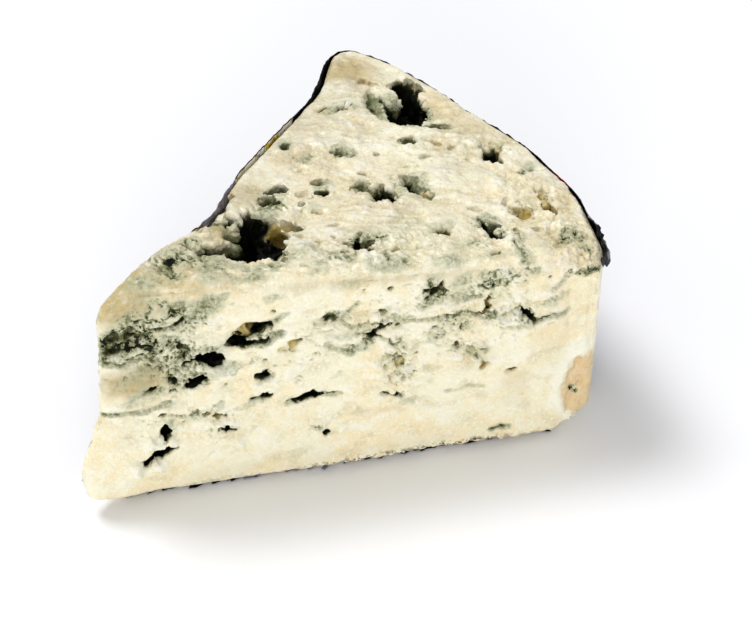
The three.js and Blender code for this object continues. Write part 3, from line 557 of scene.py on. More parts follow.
        (78.6, 35.2, 1.5, 1.0), (82.2, 33.6, 1.7, 1.1), (85.6, 30.2, 1.5, 0.9), (80.4, 32.0, 1.2, 0.8), (76.0, 33.4, 1.2, 0.7),
        (58.2, 40.3, 1.5, 1.2), (88.8, 35.6, 3.2, 0.8), (69.5, 37.6, 2.0, 0.8), (24.6, 30.5, 2.6, 0.6), (7.8, 9.4, 1.5, 1.7),
        (12.0, 9.8, 1.6, 1.6), (11.6, 16.0, 1.3, 1.3), (16.0, 15.2, 1.2, 1.1), (27.6, 12.0, 1.3, 1.1), (16.6, 17.6, 1.1, 0.7), (27.6, 17.0, 1.2, 0.8), (22.6, 17.4, 0.9, 0.6),
        (48.0, 11.4, 1.3, 0.9), (43.4, 8.6, 0.9, 0.5), (60.4, 34.2, 1.6, 0.8), (63.6, 39.4, 1.5, 0.8), (74.0, 30.2, 1.4, 0.7),
        (71.0, 24.4, 1.3, 0.8), (67.0, 27.4, 1.2, 0.6), (55.4, 26.6, 1.3, 0.8), (57.2, 22.6, 1.2, 0.7), (50.8, 34.0, 1.3, 0.5),
        (13.6, 38.8, 2.4, 0.5), (8.0, 30.5, 6.0, 0.7), (20.6, 39.6, 2.6, 0.5), (38.4, 24.4, 4.2, 0.4),
        (14.4, 45.8, 3.2, 0.7), (58.0, 33.6, 1.4, 0.4), (90.6, 18.0, 2.0, 0.5), (91.6, 9.0, 2.2, 0.6),
    ],
}


# How strongly a set of spots marks each point, 1 at a spot's middle and 0 outside it.
def spotField(flat, spots):
    field = np.zeros(len(flat))
    for spot in spots:
        a, b, long, wide, turn = spot[:5]
        strength = spot[5] if len(spot) > 5 else 1.0
        c, s = math.cos(math.radians(turn)), math.sin(math.radians(turn))
        da, db = flat[:, 0] - a, flat[:, 1] - b
        away = np.hypot((da * c + db * s) / long, (db * c - da * s) / wide)
        field = np.maximum(field, strength * (1 - smooth(0.25, 1.25, away)))
    return field


def awayFromPath(flat, path):
    nearest = np.full(len(flat), 1e9)
    for start, end in zip(path[:-1], path[1:]):
        start, step = np.array(start), np.array(end) - np.array(start)
        along = np.clip(((flat - start) @ step) / (step @ step), 0, 1)
        nearest = np.minimum(nearest, np.linalg.norm(flat - start - along[:, None] * step, axis=1))
    return nearest


def storeMark(piece, name, values):
    mark = piece.data.attributes.new(name, "FLOAT", "POINT")
    mark.data.foreach_set("value", np.asarray(values, dtype=np.float32))


# Depth below the uncut wedge, and how far each point belongs to the top, to the main cut
# and to the bare end of the second cut.
def readSides(body, plainTree):
    hollow, facing = [], []
    for vertex in body.data.vertices:
        place, normal, index, away = plainTree.find_nearest(vertex.co)
        hollow.append(away * 1000)
        facing.append(normal[:])
    facing = np.array(facing)
    points = toWheel(pointsOf(body))
    onTop = smooth(0.45, 0.8, facing[:, 2])
    onCut = smooth(0.3, 0.75, -facing[:, 1]) * (1 - onTop)
    turn = math.radians(wheel["cutAngle"])
    backward = facing[:, 1] * math.cos(turn) - facing[:, 0] * math.sin(turn)
    onBack = smooth(0.3, 0.7, backward) * (1 - onTop) * (1 - onCut)
    onBack *= 1 - smooth(24, 36, np.hypot(points[:, 0], points[:, 1]))
    return np.array(hollow), onTop, onCut, onBack


# Thins the mesh down to the triangles it may have, where the named group says or all over.
def thinOut(body, group=""):
    triangles = sum(len(face.vertices) - 2 for face in body.data.polygons)
    if triangles > cheeseLook["faces"]:
        share = cheeseLook["faces"] / triangles
        applyModifier(body, "DECIMATE", ratio=share, vertex_group=group, use_collapse_triangulate=True)
    print("thinned from", triangles, "to", len(body.data.polygons))


# Clears the tiny loose bits that cutting leaves: all that isn't joined to the tip goes.
def dropLoose(body):
    activate(body)
    tip = int(np.argmin(pointsOf(body)[:, 0]))
    bpy.ops.object.mode_set(mode="EDIT")
    bpy.ops.mesh.select_all(action="DESELECT")
    bpy.ops.object.mode_set(mode="OBJECT")
    body.data.vertices[tip].select = True
    bpy.ops.object.mode_set(mode="EDIT")
    bpy.ops.mesh.select_linked()
    bpy.ops.mesh.select_all(action="INVERT")
    bpy.ops.mesh.delete(type="VERT")
    bpy.ops.object.mode_set(mode="OBJECT")


# Marks for thinning what foil and table hide.
def thinHidden(body):
    points = toWheel(pointsOf(body))
    apart = np.hypot(points[:, 0], points[:, 1])
    side = insetOf(points) < 2.5
    back = side & (points[:, 1] > 3) & (apart > 30) & (points[:, 2] < crown(points) - 3.5)
    rind = side & (apart > 95) & (points[:, 1] > 5) & (points[:, 2] < crown(points) - 3.5)
    base = (points[:, 2] < 1.4) & ~((points[:, 1] < 3) & side)
    hidden = body.vertex_groups.new(name="hidden")
    hidden.add(np.nonzero(back | rind | base)[0].tolist(), 1.0, "REPLACE")
    thinOut(body, "hidden")
    body.vertex_groups.clear()


# Gives the paste its uneven, torn surface and notes where mould and colours belong.
def weatherCheese(body, plainTree):
    hollow, onTop, onCut, onBack = readSides(body, plainTree)
    onPit = smooth(0.5, 1.4, hollow)
    points = toWheel(pointsOf(body))
    # Pit rims and seams wander a little.
    ragged = np.stack([grain(points, (0.55, 0.55, 0.55), 2, salt) for salt in (5, 6, 7)], axis=1)
    shown = np.clip(onTop + onCut + onPit, 0, 1)
    points += ragged * (0.34 * smooth(0.1, 0.8, hollow) * shown)[:, None]
    setPoints(body, toModel(points))
    normals = normalsOf(body)
    warpA, warpB = grain(points, (0.2, 0.2, 0.2), 3, 11), grain(points, (0.2, 0.2, 0.2), 3, 12)
    fineA, fineB = grain(points, (0.8, 0.8, 0.8), 2, 13), grain(points, (0.8, 0.8, 0.8), 2, 14)
    shift = np.stack([warpA * 1.5 + fineA * 0.6, warpB * 1.2 + fineB * 0.5], axis=1)
    plainCut, plainTop = points[:, [0, 2]], points[:, [0, 1]]
    cut, top = plainCut + shift, plainTop + shift
    cutMould, topMould = spotField(cut, markLook["cutMould"]), spotField(top, markLook["topMould"])
    groove = np.zeros(len(points))
    for name, side, flat in (("cutCracks", onCut, plainCut), ("topCracks", onTop, plainTop)):
        for path, width, deep, mould in markLook[name]:
            away = awayFromPath(flat + shift * 0.45, path)
            thin = width * (0.75 + 0.5 * warpA + 0.4 * fineB)
            groove = np.maximum(groove, deep * (1 - smooth(thin * 0.3, thin * 1.5, away)) * side)
            stain = mould * (1 - smooth(width * 0.3, width * 3.2, away))
            if name == "topCracks":
                topMould = np.maximum(topMould, stain)
            else:
                cutMould = np.maximum(cutMould, stain)
    # Thin seams between the curds, where a slow noise crosses zero.
    calmCorner = 1 - 0.9 * smooth(60, 80, points[:, 0]) * (1 - smooth(22, 30, points[:, 2]))
    upper = smooth(7, 20, points[:, 2]) * calmCorner
    seam = grain(points, (0.11, 0.11, 0.3), 3, 21)
    seamArea = smooth(-0.1, 0.35, grain(points, (0.05, 0.05, 0.08), 2, 22)) * upper * onCut
    seamLine = np.exp(-((seam / 0.03) ** 2)) * seamArea
    drag = points @ np.array([[0.975, 0.223, 0], [-0.223, 0.975, 0], [0, 0, 1]])
    flake = grain(drag, (0.09, 0.3, 0.2), 3, 23)
    flakeLine = np.exp(-((flake / 0.03) ** 2)) * smooth(-0.05, 0.4, grain(points, (0.06, 0.06, 0.06), 2, 24)) * onTop
    # Curds of two sizes, loose in the crumbly places.
    crumb = spotField(cut, markLook["cutCrumb"]) * onCut + spotField(top, markLook["topCrumb"]) * onTop
    crumb = np.clip(np.maximum(crumb * (1 - 0.6 * onPit), 0.2 * onPit), 0, 1.2)
    warped = points + np.stack([warpA, warpB, fineA], axis=1) * 1.1
    lump, bit, speck = (
        np.abs(grain(warped, scale, 2, salt))
        for scale, salt in (((0.13, 0.13, 0.19), 31), ((0.32, 0.32, 0.42), 35), ((0.78, 0.78, 0.95), 38))
    )
    big, small, tiny = np.minimum(1, lump * 2.8), np.minimum(1, bit * 2.8), np.minimum(1, speck * 2.8)
    crease = np.exp(-(lump / 0.05) ** 2) * 0.9 + np.exp(-(bit / 0.08) ** 2) * 0.7 + np.exp(-(speck / 0.1) ** 2) * 0.35
    crease = np.clip(crease, 0, 1)
    curdHeight = 1.0 * (big ** 0.6 - 0.66) + 0.75 * (small ** 0.6 - 0.66) + 0.28 * (tiny ** 0.6 - 0.66)
    mould = cutMould * onCut + topMould * onTop + 0.5 * onBack * smooth(0.05, 0.4, warpA + 0.5 * fineA)
    # In the crumbly places it keeps to the seams, and leaves the curds paler.
    mould = mould * (1 + smooth(0.2, 0.6, crumb) * (1.3 * crease - 0.4 * (1 - crease)))
    mould = np.maximum(mould, 0.46 * seamLine)
    mould = np.maximum(mould, 0.3 * flakeLine)
    fresh = spotField(plainCut, markLook["cutFresh"]) * onCut + spotField(plainTop, markLook["topFresh"]) * (1 - onCut) * (points[:, 2] > 36)
    hollow = hollow * (1 - np.clip(1.6 * fresh, 0, 1))
    # Painted shade: the pits of the main cut, seen slantwise, are painted darker sooner than those of the top.
    fromTop = smooth(0, 3, points[:, 1]) * smooth(34, 38, points[:, 2])
    hollow = hollow * (1.5 - 0.85 * fromTop)
    still = 0.3 * shift
    clean = spotField(plainCut + still, markLook["cutClean"]) * onCut + spotField(plainTop + still, markLook["topClean"]) * onTop
    tan = spotField(cut, markLook["cutTan"]) * onCut + spotField(top, markLook["topTan"]) * onTop
    heel = np.hypot((plainCut[:, 0] - 97.0) / 5.2, (plainCut[:, 1] - 11.4) / (8.2 + 0.12 * (plainCut[:, 1] - 11.4)))
    blush = (1 - smooth(0.84, 1.0, heel + 0.14 * fineA)) * onCut
    tan = np.maximum(tan, (0.6 + 0.5 * fineB) * blush)
    # The surface itself.
    broad = grain(points, (0.055, 0.055, 0.08), 2, 41)
    lumps = grain(points, (0.17, 0.17, 0.24), 3, 42)
    fine = grain(points, (1.2, 1.2, 1.4), 2, 43)
    coarse = grain(points, (0.5, 0.5, 0.6), 3, 44)
    torn = ridges(points, (0.16, 0.16, 0.34), 3, 45)
    streak = ridges(drag, (0.07, 0.42, 0.3), 3, 46)
    knife = grain(points, (0.5, 0.08, 0.025), 2, 47) * smooth(84, 91, points[:, 0]) * smooth(8, 20, points[:, 2])
    brushed = grain(points, (0.03, 0.2, 0.45), 2, 48) * (1 - upper)
    patchy = smooth(-0.25, 0.35, grain(points, (0.07, 0.09, 0.09), 2, 49))
    loosely = np.clip(crumb + 0.15 * patchy, 0, 1)
    rough = onCut * (0.5 * broad + (0.12 + 0.34 * upper) * lumps + 0.42 * loosely * (torn - 0.5) + 0.4 * knife + 0.12 * brushed)
    rough += onTop * (0.8 * broad + 0.6 * lumps + (0.1 + 0.26 * patchy) * (streak - 0.5) + 0.16 * coarse * (0.5 + tan) + 0.25 * patchy * (torn - 0.5))
    rough += onPit * (0.22 * coarse + 0.2 * fine)
    # Under the foil the back keeps within its plain shape.
    back = 0.4 * lumps + 0.3 * coarse
    covered = smooth(6, 9, np.hypot(points[:, 0], points[:, 1]))
    back = back + (np.minimum(back, 0) - 0.06 - 0.4 * (1 - smooth(6, 10, points[:, 2])) - back) * covered
    rough += onBack * back
    rough += (crumb * 0.9 + 0.12 * shown) * curdHeight + 0.07 * fine - 0.45 * seamLine - 0.3 * flakeLine - groove
    foot = onCut * (1 - smooth(1.6, 3.4, points[:, 2]))
    loose = smooth(40, 48, points[:, 0]) * (1 - smooth(78, 84, points[:, 0]))
    rough += foot * (0.12 + 0.3 * loose) * (small - 0.6)
    knobs = np.zeros(len(points))
    for a, b, wide, high in markLook["bumps"]:
        away = np.linalg.norm(cut - np.array([a, b]), axis=1) / wide
        knobs += high * np.exp(-away ** 2 * 1.6) * onCut * (1 - onPit)
    rough += knobs
    # A smooth roll of paste runs round the heel's torn patch; its brightness is painted highlight, through a mark set
    # below.
    rough += 0.7 * np.exp(-((heel - 1.12) / 0.16) ** 2) * onCut * (points[:, 0] < 97.5)
    side = np.clip(onTop + onCut + onBack + smooth(1.5, 3, hollow), 0, 1)
    edge = 0.35 + 0.65 * smooth(0.0, 2.0, insetOf(points) + 4 * (points[:, 2] < 40))
    formed = points + normals * (rough * side * edge)[:, None]
    # Behind the foil the foot draws in a little, so that it stays inside.
    inwards = np.array(wheel["heart"]) - formed[:, :2]
    inwards /= np.maximum(np.linalg.norm(inwards, axis=1), 1)[:, None]
    tuck = 1.0 * (1 - smooth(3, 8, formed[:, 2])) * smooth(5, 10, formed[:, 1]) * covered
    formed[:, :2] += inwards * tuck[:, None]
    setPoints(body, toModel(formed))
    storeMark(body, "mould", np.clip(mould, 0, 2))
    storeMark(body, "hollow", hollow + groove)
    storeMark(body, "clean", clean)
    storeMark(body, "tan", tan)
    storeMark(body, "blush", blush)
    storeMark(body, "onTop", onTop)
    storeMark(body, "wall", np.clip(fromTop * (0.5 + 1.6 * grain(points, (0.12, 0.12, 0.1), 2, 51)), 0, 1))
    # Painted shade for the top: less near the front edge and toward the crown's right.
    storeMark(body, "paintedTopShade", onTop * (1 - 0.8 * (1 - smooth(1, 11, points[:, 1]))) * (0.6 - 0.5 * smooth(45, 75, points[:, 0]) + 0.3 * broad))
    storeMark(body, "crease", crease * np.clip(crumb, 0, 1))
    storeMark(body, "grit", foot * (0.3 + 0.7 * loose))
    # Painted light, kept as a mark: the heel's roll, the knobs and the curds' crests get painted highlight, the hollows
    # painted shade.
    glow = np.exp(-((heel - 1.2) / 0.2) ** 2) * onCut * (points[:, 0] < 97.5)
    storeMark(body, "reliefShading", np.clip(0.5 + 0.5 * glow + 0.4 * knobs + 0.55 * (lumps * 0.7 + (torn - 0.5) * loosely + (streak - 0.5) * onTop * patchy + 0.7 * crumb * curdHeight), 0, 1))


def makeCheese():
    body = plainWedge()
    print("plain wedge", len(body.data.vertices))
    plainTree = BVHTree.FromPolygons([v.co[:] for v in body.data.vertices], [tuple(f.vertices) for f in body.data.polygons])
    lumps = []
    for onTop, pits in ((True, cheeseLook["topPits"]), (False, cheeseLook["cutPits"])):
        for name, a, b, long, wide, deep, turn in pits:
            detail = 5 if long > 6 else 4 if long > 2.5 else 3
            lumps.append(addPitLump(name, onTop, a, b, long, wide, deep, turn, detail, len(lumps) + 3))
    pick = np.random.default_rng(11)
    for onTop, count, low, high in cheeseLook["pins"]:
        for i in range(count):
            size = pick.uniform(low, high)
            long, deep, turn = size * pick.uniform(1, 2.4), pick.uniform(0.5, 1.4), pick.uniform(-30, 30)
            a, b = (pick.uniform(14, 96), pick.uniform(3, 60)) if onTop else (pick.uniform(5, 90), pick.uniform(6, 46))
            if onTop and (insetOf(np.array([[a, b]]))[0] < 3 or b > a * 0.85 or math.hypot(a, b) > 97):
                continue
            lumps.append(addPitLump("pin", onTop, a, b, long, size, deep, turn, 2, 500 + i))
    print("pits", len(lumps))
    cutInTurns(body, lumps)
    print("pits cut", len(body.data.vertices))
    applyModifier(body, "REMESH", mode="VOXEL", voxel_size=cheeseLook["voxel"] / 1000)
    print("remeshed", len(body.data.vertices), len(body.data.polygons))
    thinHidden(body)
    weatherCheese(body, plainTree)
    thinOut(body)
    dropLoose(body)
    activate(body)
    bpy.ops.object.shade_smooth()
    print("surface torn and marked")
    return body


cheese = makeCheese()
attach(cheese, "root")
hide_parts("cheese")


# Small builders for the node trees: each adds one node and gives back its output.
class NodeBench:
    def __init__(self, tree):
        self.tree = tree
        self.count = 0

    def add(self, kind, **settings):
        node = self.tree.nodes.new(kind)
        node.location = (-1800 + 190 * (self.count % 9), 600 - 260 * (self.count // 9))
        self.count += 1
        for key, value in settings.items():
            setattr(node, key, value)
        return node

    def feed(self, socket, value):
        if isinstance(value, bpy.types.NodeSocket):
            self.tree.links.new(value, socket)
        elif value is not None:
            socket.default_value = value

    def maths(self, operation, a, b=None, c=None, clamp=False):
        node = self.add("ShaderNodeMath", operation=operation, use_clamp=clamp)
        for socket, value in zip(node.inputs, (a, b, c)):
            self.feed(socket, value)
        return node.outputs[0]

    def mix(self, share, a, b, blend="MIX"):
        node = self.add("ShaderNodeMix", data_type="RGBA", blend_type=blend)
        self.feed(node.inputs["Factor"], share)
        self.feed(node.inputs[6], a)
        self.feed(node.inputs[7], b)
        return node.outputs[2]

    def between(self, value, low, high, toLow=0.0, toHigh=1.0):
        node = self.add("ShaderNodeMapRange", interpolation_type="SMOOTHSTEP")
        self.feed(node.inputs["Value"], value)
        for name, number in (("From Min", low), ("From Max", high), ("To Min", toLow), ("To Max", toHigh)):
            node.inputs[name].default_value = number
        return node.outputs["Result"]

    def noise(self, place, scale, detail=3.0, rough=0.55, warp=0.0):
        node = self.add("ShaderNodeTexNoise")
        self.feed(node.inputs["Vector"], place)
        for name, number in (("Scale", scale), ("Detail", detail), ("Roughness", rough), ("Distortion", warp)):
            node.inputs[name].default_value = number
        return node.outputs["Fac"]

    def mark(self, name):
        return self.add("ShaderNodeAttribute", attribute_name=name).outputs["Fac"]

    def place(self, scale=(1, 1, 1), turn=0.0):
        coordinates = self.add("ShaderNodeTexCoord").outputs["Object"]
        mapping = self.add("ShaderNodeMapping")
        self.feed(mapping.inputs["Vector"], coordinates)
        mapping.inputs["Scale"].default_value = scale
        mapping.inputs["Rotation"].default_value = (0, 0, turn)
        return mapping.outputs["Vector"]

    def ramp(self, value, stops):
        node = self.add("ShaderNodeValToRGB")
        self.feed(node.inputs["Fac"], value)
        while len(node.color_ramp.elements) < len(stops):
            node.color_ramp.elements.new(0.5)
        for element, (at, colour) in zip(node.color_ramp.elements, stops):
            element.position = at
            element.color = (*colour, 1)
        return node.outputs["Color"]


def linear(red, green, blue):
    return tuple(((v / 255 + 0.055) / 1.055) ** 2.4 if v > 10 else v / 255 / 12.92 for v in (red, green, blue))


pasteLook = {
    "cream": linear(250, 244, 214),
    "white": linear(254, 252, 236),
    "warm": linear(250, 235, 195),
    "beige": linear(241, 225, 192),
    "tan": linear(200, 179, 126),
    "shade": linear(206, 192, 146),
    # The tint of the painted shade on the top.
    "topShadeTint": (0.76, 0.775, 0.80),
    "paleOchre": linear(224, 204, 134),
    "ochre": linear(166, 142, 62),
    "shadedOchre": linear(80, 68, 16),
    "haze": linear(182, 184, 151),
    "curl": linear(212, 214, 190),
    "green": linear(113, 117, 72),
    "deepGreen": linear(44, 49, 22),
    "black": linear(11, 13, 5),
    "olive": linear(128, 126, 84),
    "wall": linear(120, 126, 88),
    "brown": linear(120, 86, 44),
    "blush": linear(238, 200, 146),
    "subsurface": 0.10,
    "scatterReach": (1.0, 0.72, 0.4),
    "scatterScale": 0.0009,
    "roughness": (0.30, 0.58),
}


# Mould over paste: a soft haze, then green grains, then near-black in seams and pits.
def buildBloomGroup():
    group = bpy.data.node_groups.new("mouldBloom", "ShaderNodeTree")
    face = group.interface
    face.new_socket("Paste", in_out="INPUT", socket_type="NodeSocketColor")
    for name in ("Mould", "Hollow", "Clean", "Crease", "Wall"):
        face.new_socket(name, in_out="INPUT", socket_type="NodeSocketFloat")
    face.new_socket("Color", in_out="OUTPUT", socket_type="NodeSocketColor")
    face.new_socket("Cover", in_out="OUTPUT", socket_type="NodeSocketFloat")
    bench = NodeBench(group)
    come = bench.add("NodeGroupInput")
    go = bench.add("NodeGroupOutput")
    colour = {name: (*pasteLook[name], 1) for name in ("haze", "curl", "green", "deepGreen", "black", "olive", "wall", "paleOchre", "ochre", "shadedOchre")}
    place = bench.place()
    mould, hollow, clean, crease = (come.outputs[name] for name in ("Mould", "Hollow", "Clean", "Crease"))
    patches = bench.noise(place, 300, 4, 0.62, 0.5)
    speckle = bench.noise(place, 1250, 3, 0.68, 0.3)
    # A wide soft haze, then grey-green cover.
    hazy = bench.maths("ADD", mould, bench.maths("MULTIPLY", bench.maths("SUBTRACT", patches, 0.5), 0.7))
    hazy = bench.maths("MULTIPLY", bench.between(hazy, 0.04, 0.5), bench.between(mould, 0.01, 0.14))
    hazy = bench.maths("MULTIPLY", hazy, bench.between(speckle, 0.3, 0.62, 0.42, 0.9))
    shade = bench.mix(hazy, come.outputs["Paste"], colour["haze"])
    grains = bench.maths("MULTIPLY_ADD", crease, 0.42, mould)
    grains = bench.maths("ADD", grains, bench.maths("MULTIPLY", bench.maths("SUBTRACT", speckle, 0.5), 1.2))
    grains = bench.maths("ADD", grains, bench.maths("MULTIPLY", bench.maths("SUBTRACT", patches, 0.5), 1.0))
    grains = bench.maths("MULTIPLY", grains, bench.between(mould, 0.08, 0.34))
    shade = bench.mix(bench.maths("MULTIPLY", bench.between(grains, 0.42, 0.95), 0.8), shade, colour["green"])
    # Pale curls and dark threads wind through it.
    curls = bench.maths("ABSOLUTE", bench.maths("SUBTRACT", bench.noise(place, 700, 3, 0.6, 0.8), 0.5))
    threads = bench.maths("ABSOLUTE", bench.maths("SUBTRACT", bench.noise(bench.place((1, 1, 1.25), 0.7), 640, 3, 0.62, 0.9), 0.5))
    strong = bench.between(mould, 0.34, 0.8)
    shade = bench.mix(bench.maths("MULTIPLY", bench.between(curls, 0.035, 0.005), bench.maths("MULTIPLY", strong, 0.75)), shade, colour["curl"])
    dark = bench.maths("MULTIPLY_ADD", bench.between(threads, 0.075, 0.015), 0.55, grains)
    # Where the mould is thin the darkest grains stay grey-green.
    shade = bench.mix(bench.maths("MULTIPLY", bench.between(dark, 1.12, 1.6), bench.between(mould, 0.5, 1.1, 0.5, 1.0)), shade, colour["deepGreen"])
    shade = bench.mix(bench.maths("MULTIPLY", bench.between(dark, 1.5, 2.1), bench.between(mould, 0.6, 1.2, 0.3, 1.0)), shade, colour["black"])
    # With depth a clean pit goes ochre and then darker, as painted shade; any other goes olive, then deep green and
    # black, as mould lining and painted shade together.
    ochre = bench.mix(bench.between(hollow, 1.4, 2.6), colour["paleOchre"], colour["ochre"])
    ochre = bench.mix(bench.between(hollow, 2.6, 4.6), ochre, colour["shadedOchre"])
    cleanly = bench.between(clean, 0.1, 0.6)
    shade = bench.mix(bench.maths("MULTIPLY", bench.between(hollow, 0.35, 1.6), cleanly), shade, ochre)
    uneven = bench.maths("ADD", hollow, bench.maths("MULTIPLY", bench.maths("SUBTRACT", patches, 0.5), 2.2))
    uneven = bench.maths("ADD", uneven, bench.maths("MULTIPLY", bench.maths("SUBTRACT", speckle, 0.5), 1.2))
    foul = bench.maths("SUBTRACT", 1.0, cleanly)
    pit = bench.maths("MULTIPLY", bench.between(uneven, 0.45, 1.2), foul)
    olive = bench.mix(come.outputs["Wall"], colour["olive"], colour["wall"])
    shade = bench.mix(bench.maths("MULTIPLY", pit, 0.9), shade, olive)
    uneven = bench.maths("SUBTRACT", uneven, bench.maths("MULTIPLY", come.outputs["Wall"], 0.6))
    shade = bench.mix(bench.maths("MULTIPLY", bench.between(uneven, 0.7, 1.5), foul), shade, colour["deepGreen"])
    # Deep in any pit, clean or not, painted shade turns it black.
    deep = bench.maths("MAXIMUM", bench.maths("MULTIPLY", bench.between(uneven, 1.2, 2.2), foul), bench.between(hollow, 5.0, 7.5))
    shade = bench.mix(deep, shade, colour["black"])
    bench.feed(go.inputs["Color"], shade)
    bench.feed(go.inputs["Cover"], bench.maths("MAXIMUM", bench.between(grains, 0.5, 1.0), pit))
    return group


def pasteMaterial(bloomGroup):
    material = bpy.data.materials.new("paste")
    material.use_nodes = True
    tree = material.node_tree
    shader = tree.nodes["Principled BSDF"]
    bench = NodeBench(tree)
    colour = {name: (*value, 1) for name, value in pasteLook.items() if isinstance(value, tuple) and len(value) == 3}
    onTop, tan, reliefShading, crease, grit = (bench.mark(name) for name in ("onTop", "tan", "reliefShading", "crease", "grit"))
    place = bench.place()
    patches = bench.noise(place, 70, 4, 0.6, 0.8)
    blotches = bench.noise(place, 190, 4, 0.6, 0.6)
    drawn = bench.noise(bench.place((0.14, 1.0, 0.6), 0.22), 620, 4, 0.6, 0.5)
    crumbly = bench.noise(place, 950, 4, 0.62, 0.2)
    body = bench.mix(bench.between(patches, 0.4, 0.62), colour["cream"], colour["warm"])
    body = bench.mix(bench.maths("MULTIPLY", bench.between(blotches, 0.5, 0.68), 0.55), body, colour["white"])
    warm = bench.maths("MULTIPLY_ADD", drawn, 0.6, bench.maths("MULTIPLY", blotches, 0.4))
    warm = bench.maths("MULTIPLY", bench.between(warm, 0.46, 0.6), bench.maths("MULTIPLY_ADD", onTop, 0.5, 0.06))
    body = bench.mix(warm, body, colour["beige"])
    # Painted light from the height of the surface: painted highlight makes crests paler and painted shade darkens the
    # hollows.
    low = bench.between(bench.maths("MULTIPLY_ADD", bench.maths("SUBTRACT", crumbly, 0.5), 0.5, reliefShading), 0.52, 0.16)
    body = bench.mix(bench.maths("MULTIPLY", low, 0.42), body, colour["shade"])
    high = bench.between(bench.maths("MULTIPLY_ADD", bench.maths("SUBTRACT", crumbly, 0.5), 0.6, reliefShading), 0.6, 0.85)
    body = bench.mix(bench.maths("MULTIPLY", high, 0.6), body, colour["white"])
    # Painted shade in the creases.
    body = bench.mix(bench.maths("MULTIPLY", bench.between(crease, 0.35, 0.95), 0.4), body, colour["shade"])
    # Fine flecks over all of it: pale ones are painted sparkle highlights, darker ones are in the shade colour, more of
    # them on the top.
    flecks = bench.noise(place, 1900, 2, 0.5)
    body = bench.mix(bench.maths("MULTIPLY", bench.between(flecks, 0.57, 0.66), 0.75), body, colour["white"])
    body = bench.mix(bench.maths("MULTIPLY", bench.between(flecks, 0.40, 0.32), bench.maths("MULTIPLY_ADD", onTop, 0.35, 0.14)), body, colour["shade"])
    tanned = bench.maths("MULTIPLY", tan, bench.maths("MULTIPLY_ADD", crumbly, 0.9, 0.4), clamp=True)
    body = bench.mix(tanned, body, colour["tan"])
    body = bench.mix(bench.maths("MULTIPLY", bench.mark("blush"), 0.5), body, colour["blush"])
    # Dark and brown specks cling along the foot.
    dirt = bench.maths("MULTIPLY", bench.between(bench.noise(place, 800, 2, 0.6), 0.53, 0.58), grit)
    body = bench.mix(dirt, body, colour["brown"])
    soot = bench.maths("MULTIPLY", bench.between(bench.noise(bench.place((1, 1, 1.6), 0.4), 640, 2, 0.6), 0.55, 0.59), grit)
    body = bench.mix(soot, body, colour["black"])
    # Painted shade darkens the top, less where the glints fall, and painted highlights whiten the top at the glints.
    glints = bench.between(bench.noise(place, 120, 4, 0.62, 0.5), 0.5, 0.7)
    shadedTop = bench.mix(1.0, body, colour["topShadeTint"], blend="MULTIPLY")
    body = bench.mix(bench.maths("MULTIPLY", bench.maths("MULTIPLY", glints, onTop), 0.6), body, colour["white"])
    body = bench.mix(bench.maths("MULTIPLY", bench.mark("paintedTopShade"), bench.maths("MULTIPLY_ADD", glints, -0.7, 1.0)), body, shadedTop)
    bloom = bench.add("ShaderNodeGroup", node_tree=bloomGroup)
    bench.feed(bloom.inputs["Paste"], body)
    for name in ("Mould", "Hollow", "Clean", "Wall"):
        bench.feed(bloom.inputs[name], bench.mark(name.lower()))
    bench.feed(bloom.inputs["Crease"], crease)
    bench.feed(shader.inputs["Base Color"], bloom.outputs["Color"])
    smoothest, roughest = pasteLook["roughness"]
    wet = bench.between(bench.noise(place, 260, 3, 0.6), 0.36, 0.64, smoothest, roughest)
    bench.feed(shader.inputs["Roughness"], bench.maths("MAXIMUM", wet, bench.maths("MULTIPLY", bloom.outputs["Cover"], 0.7)))
    bare = bench.maths("SUBTRACT", 1.0, bloom.outputs["Cover"], clamp=True)
    gloss = bench.between(bench.noise(place, 330, 3, 0.6, 0.4), 0.4, 0.66, 0.15, 0.85)
    bench.feed(shader.inputs["Coat Weight"], bench.maths("MULTIPLY", bare, gloss))
    shader.inputs["Coat Roughness"].default_value = 0.26
    shader.inputs["Coat IOR"].default_value = 1.42
    height = bench.maths("MULTIPLY_ADD", drawn, bench.maths("MULTIPLY", onTop, 0.6), bench.maths("MULTIPLY", crumbly, 0.9))
    height = bench.maths("ADD", height, bench.maths("MULTIPLY", bench.noise(place, 2600, 2, 0.6), 0.3))
    bump = bench.add("ShaderNodeBump")
    bump.inputs["Strength"].default_value = 0.85
    bump.inputs["Distance"].default_value = 0.00045
    bench.feed(bump.inputs["Height"], height)
    bench.feed(shader.inputs["Normal"], bump.outputs["Normal"])
    shader.inputs["Subsurface Weight"].default_value = pasteLook["subsurface"]
    shader.inputs["Subsurface Radius"].default_value = pasteLook["scatterReach"]
    shader.inputs["Subsurface Scale"].default_value = pasteLook["scatterScale"]
    shader.inputs["Specular IOR Level"].default_value = 0.14
    return material


bloomGroup = buildBloomGroup()
cheese.data.materials.clear()
cheese.data.materials.append(pasteMaterial(bloomGroup))
print("cheese finished")

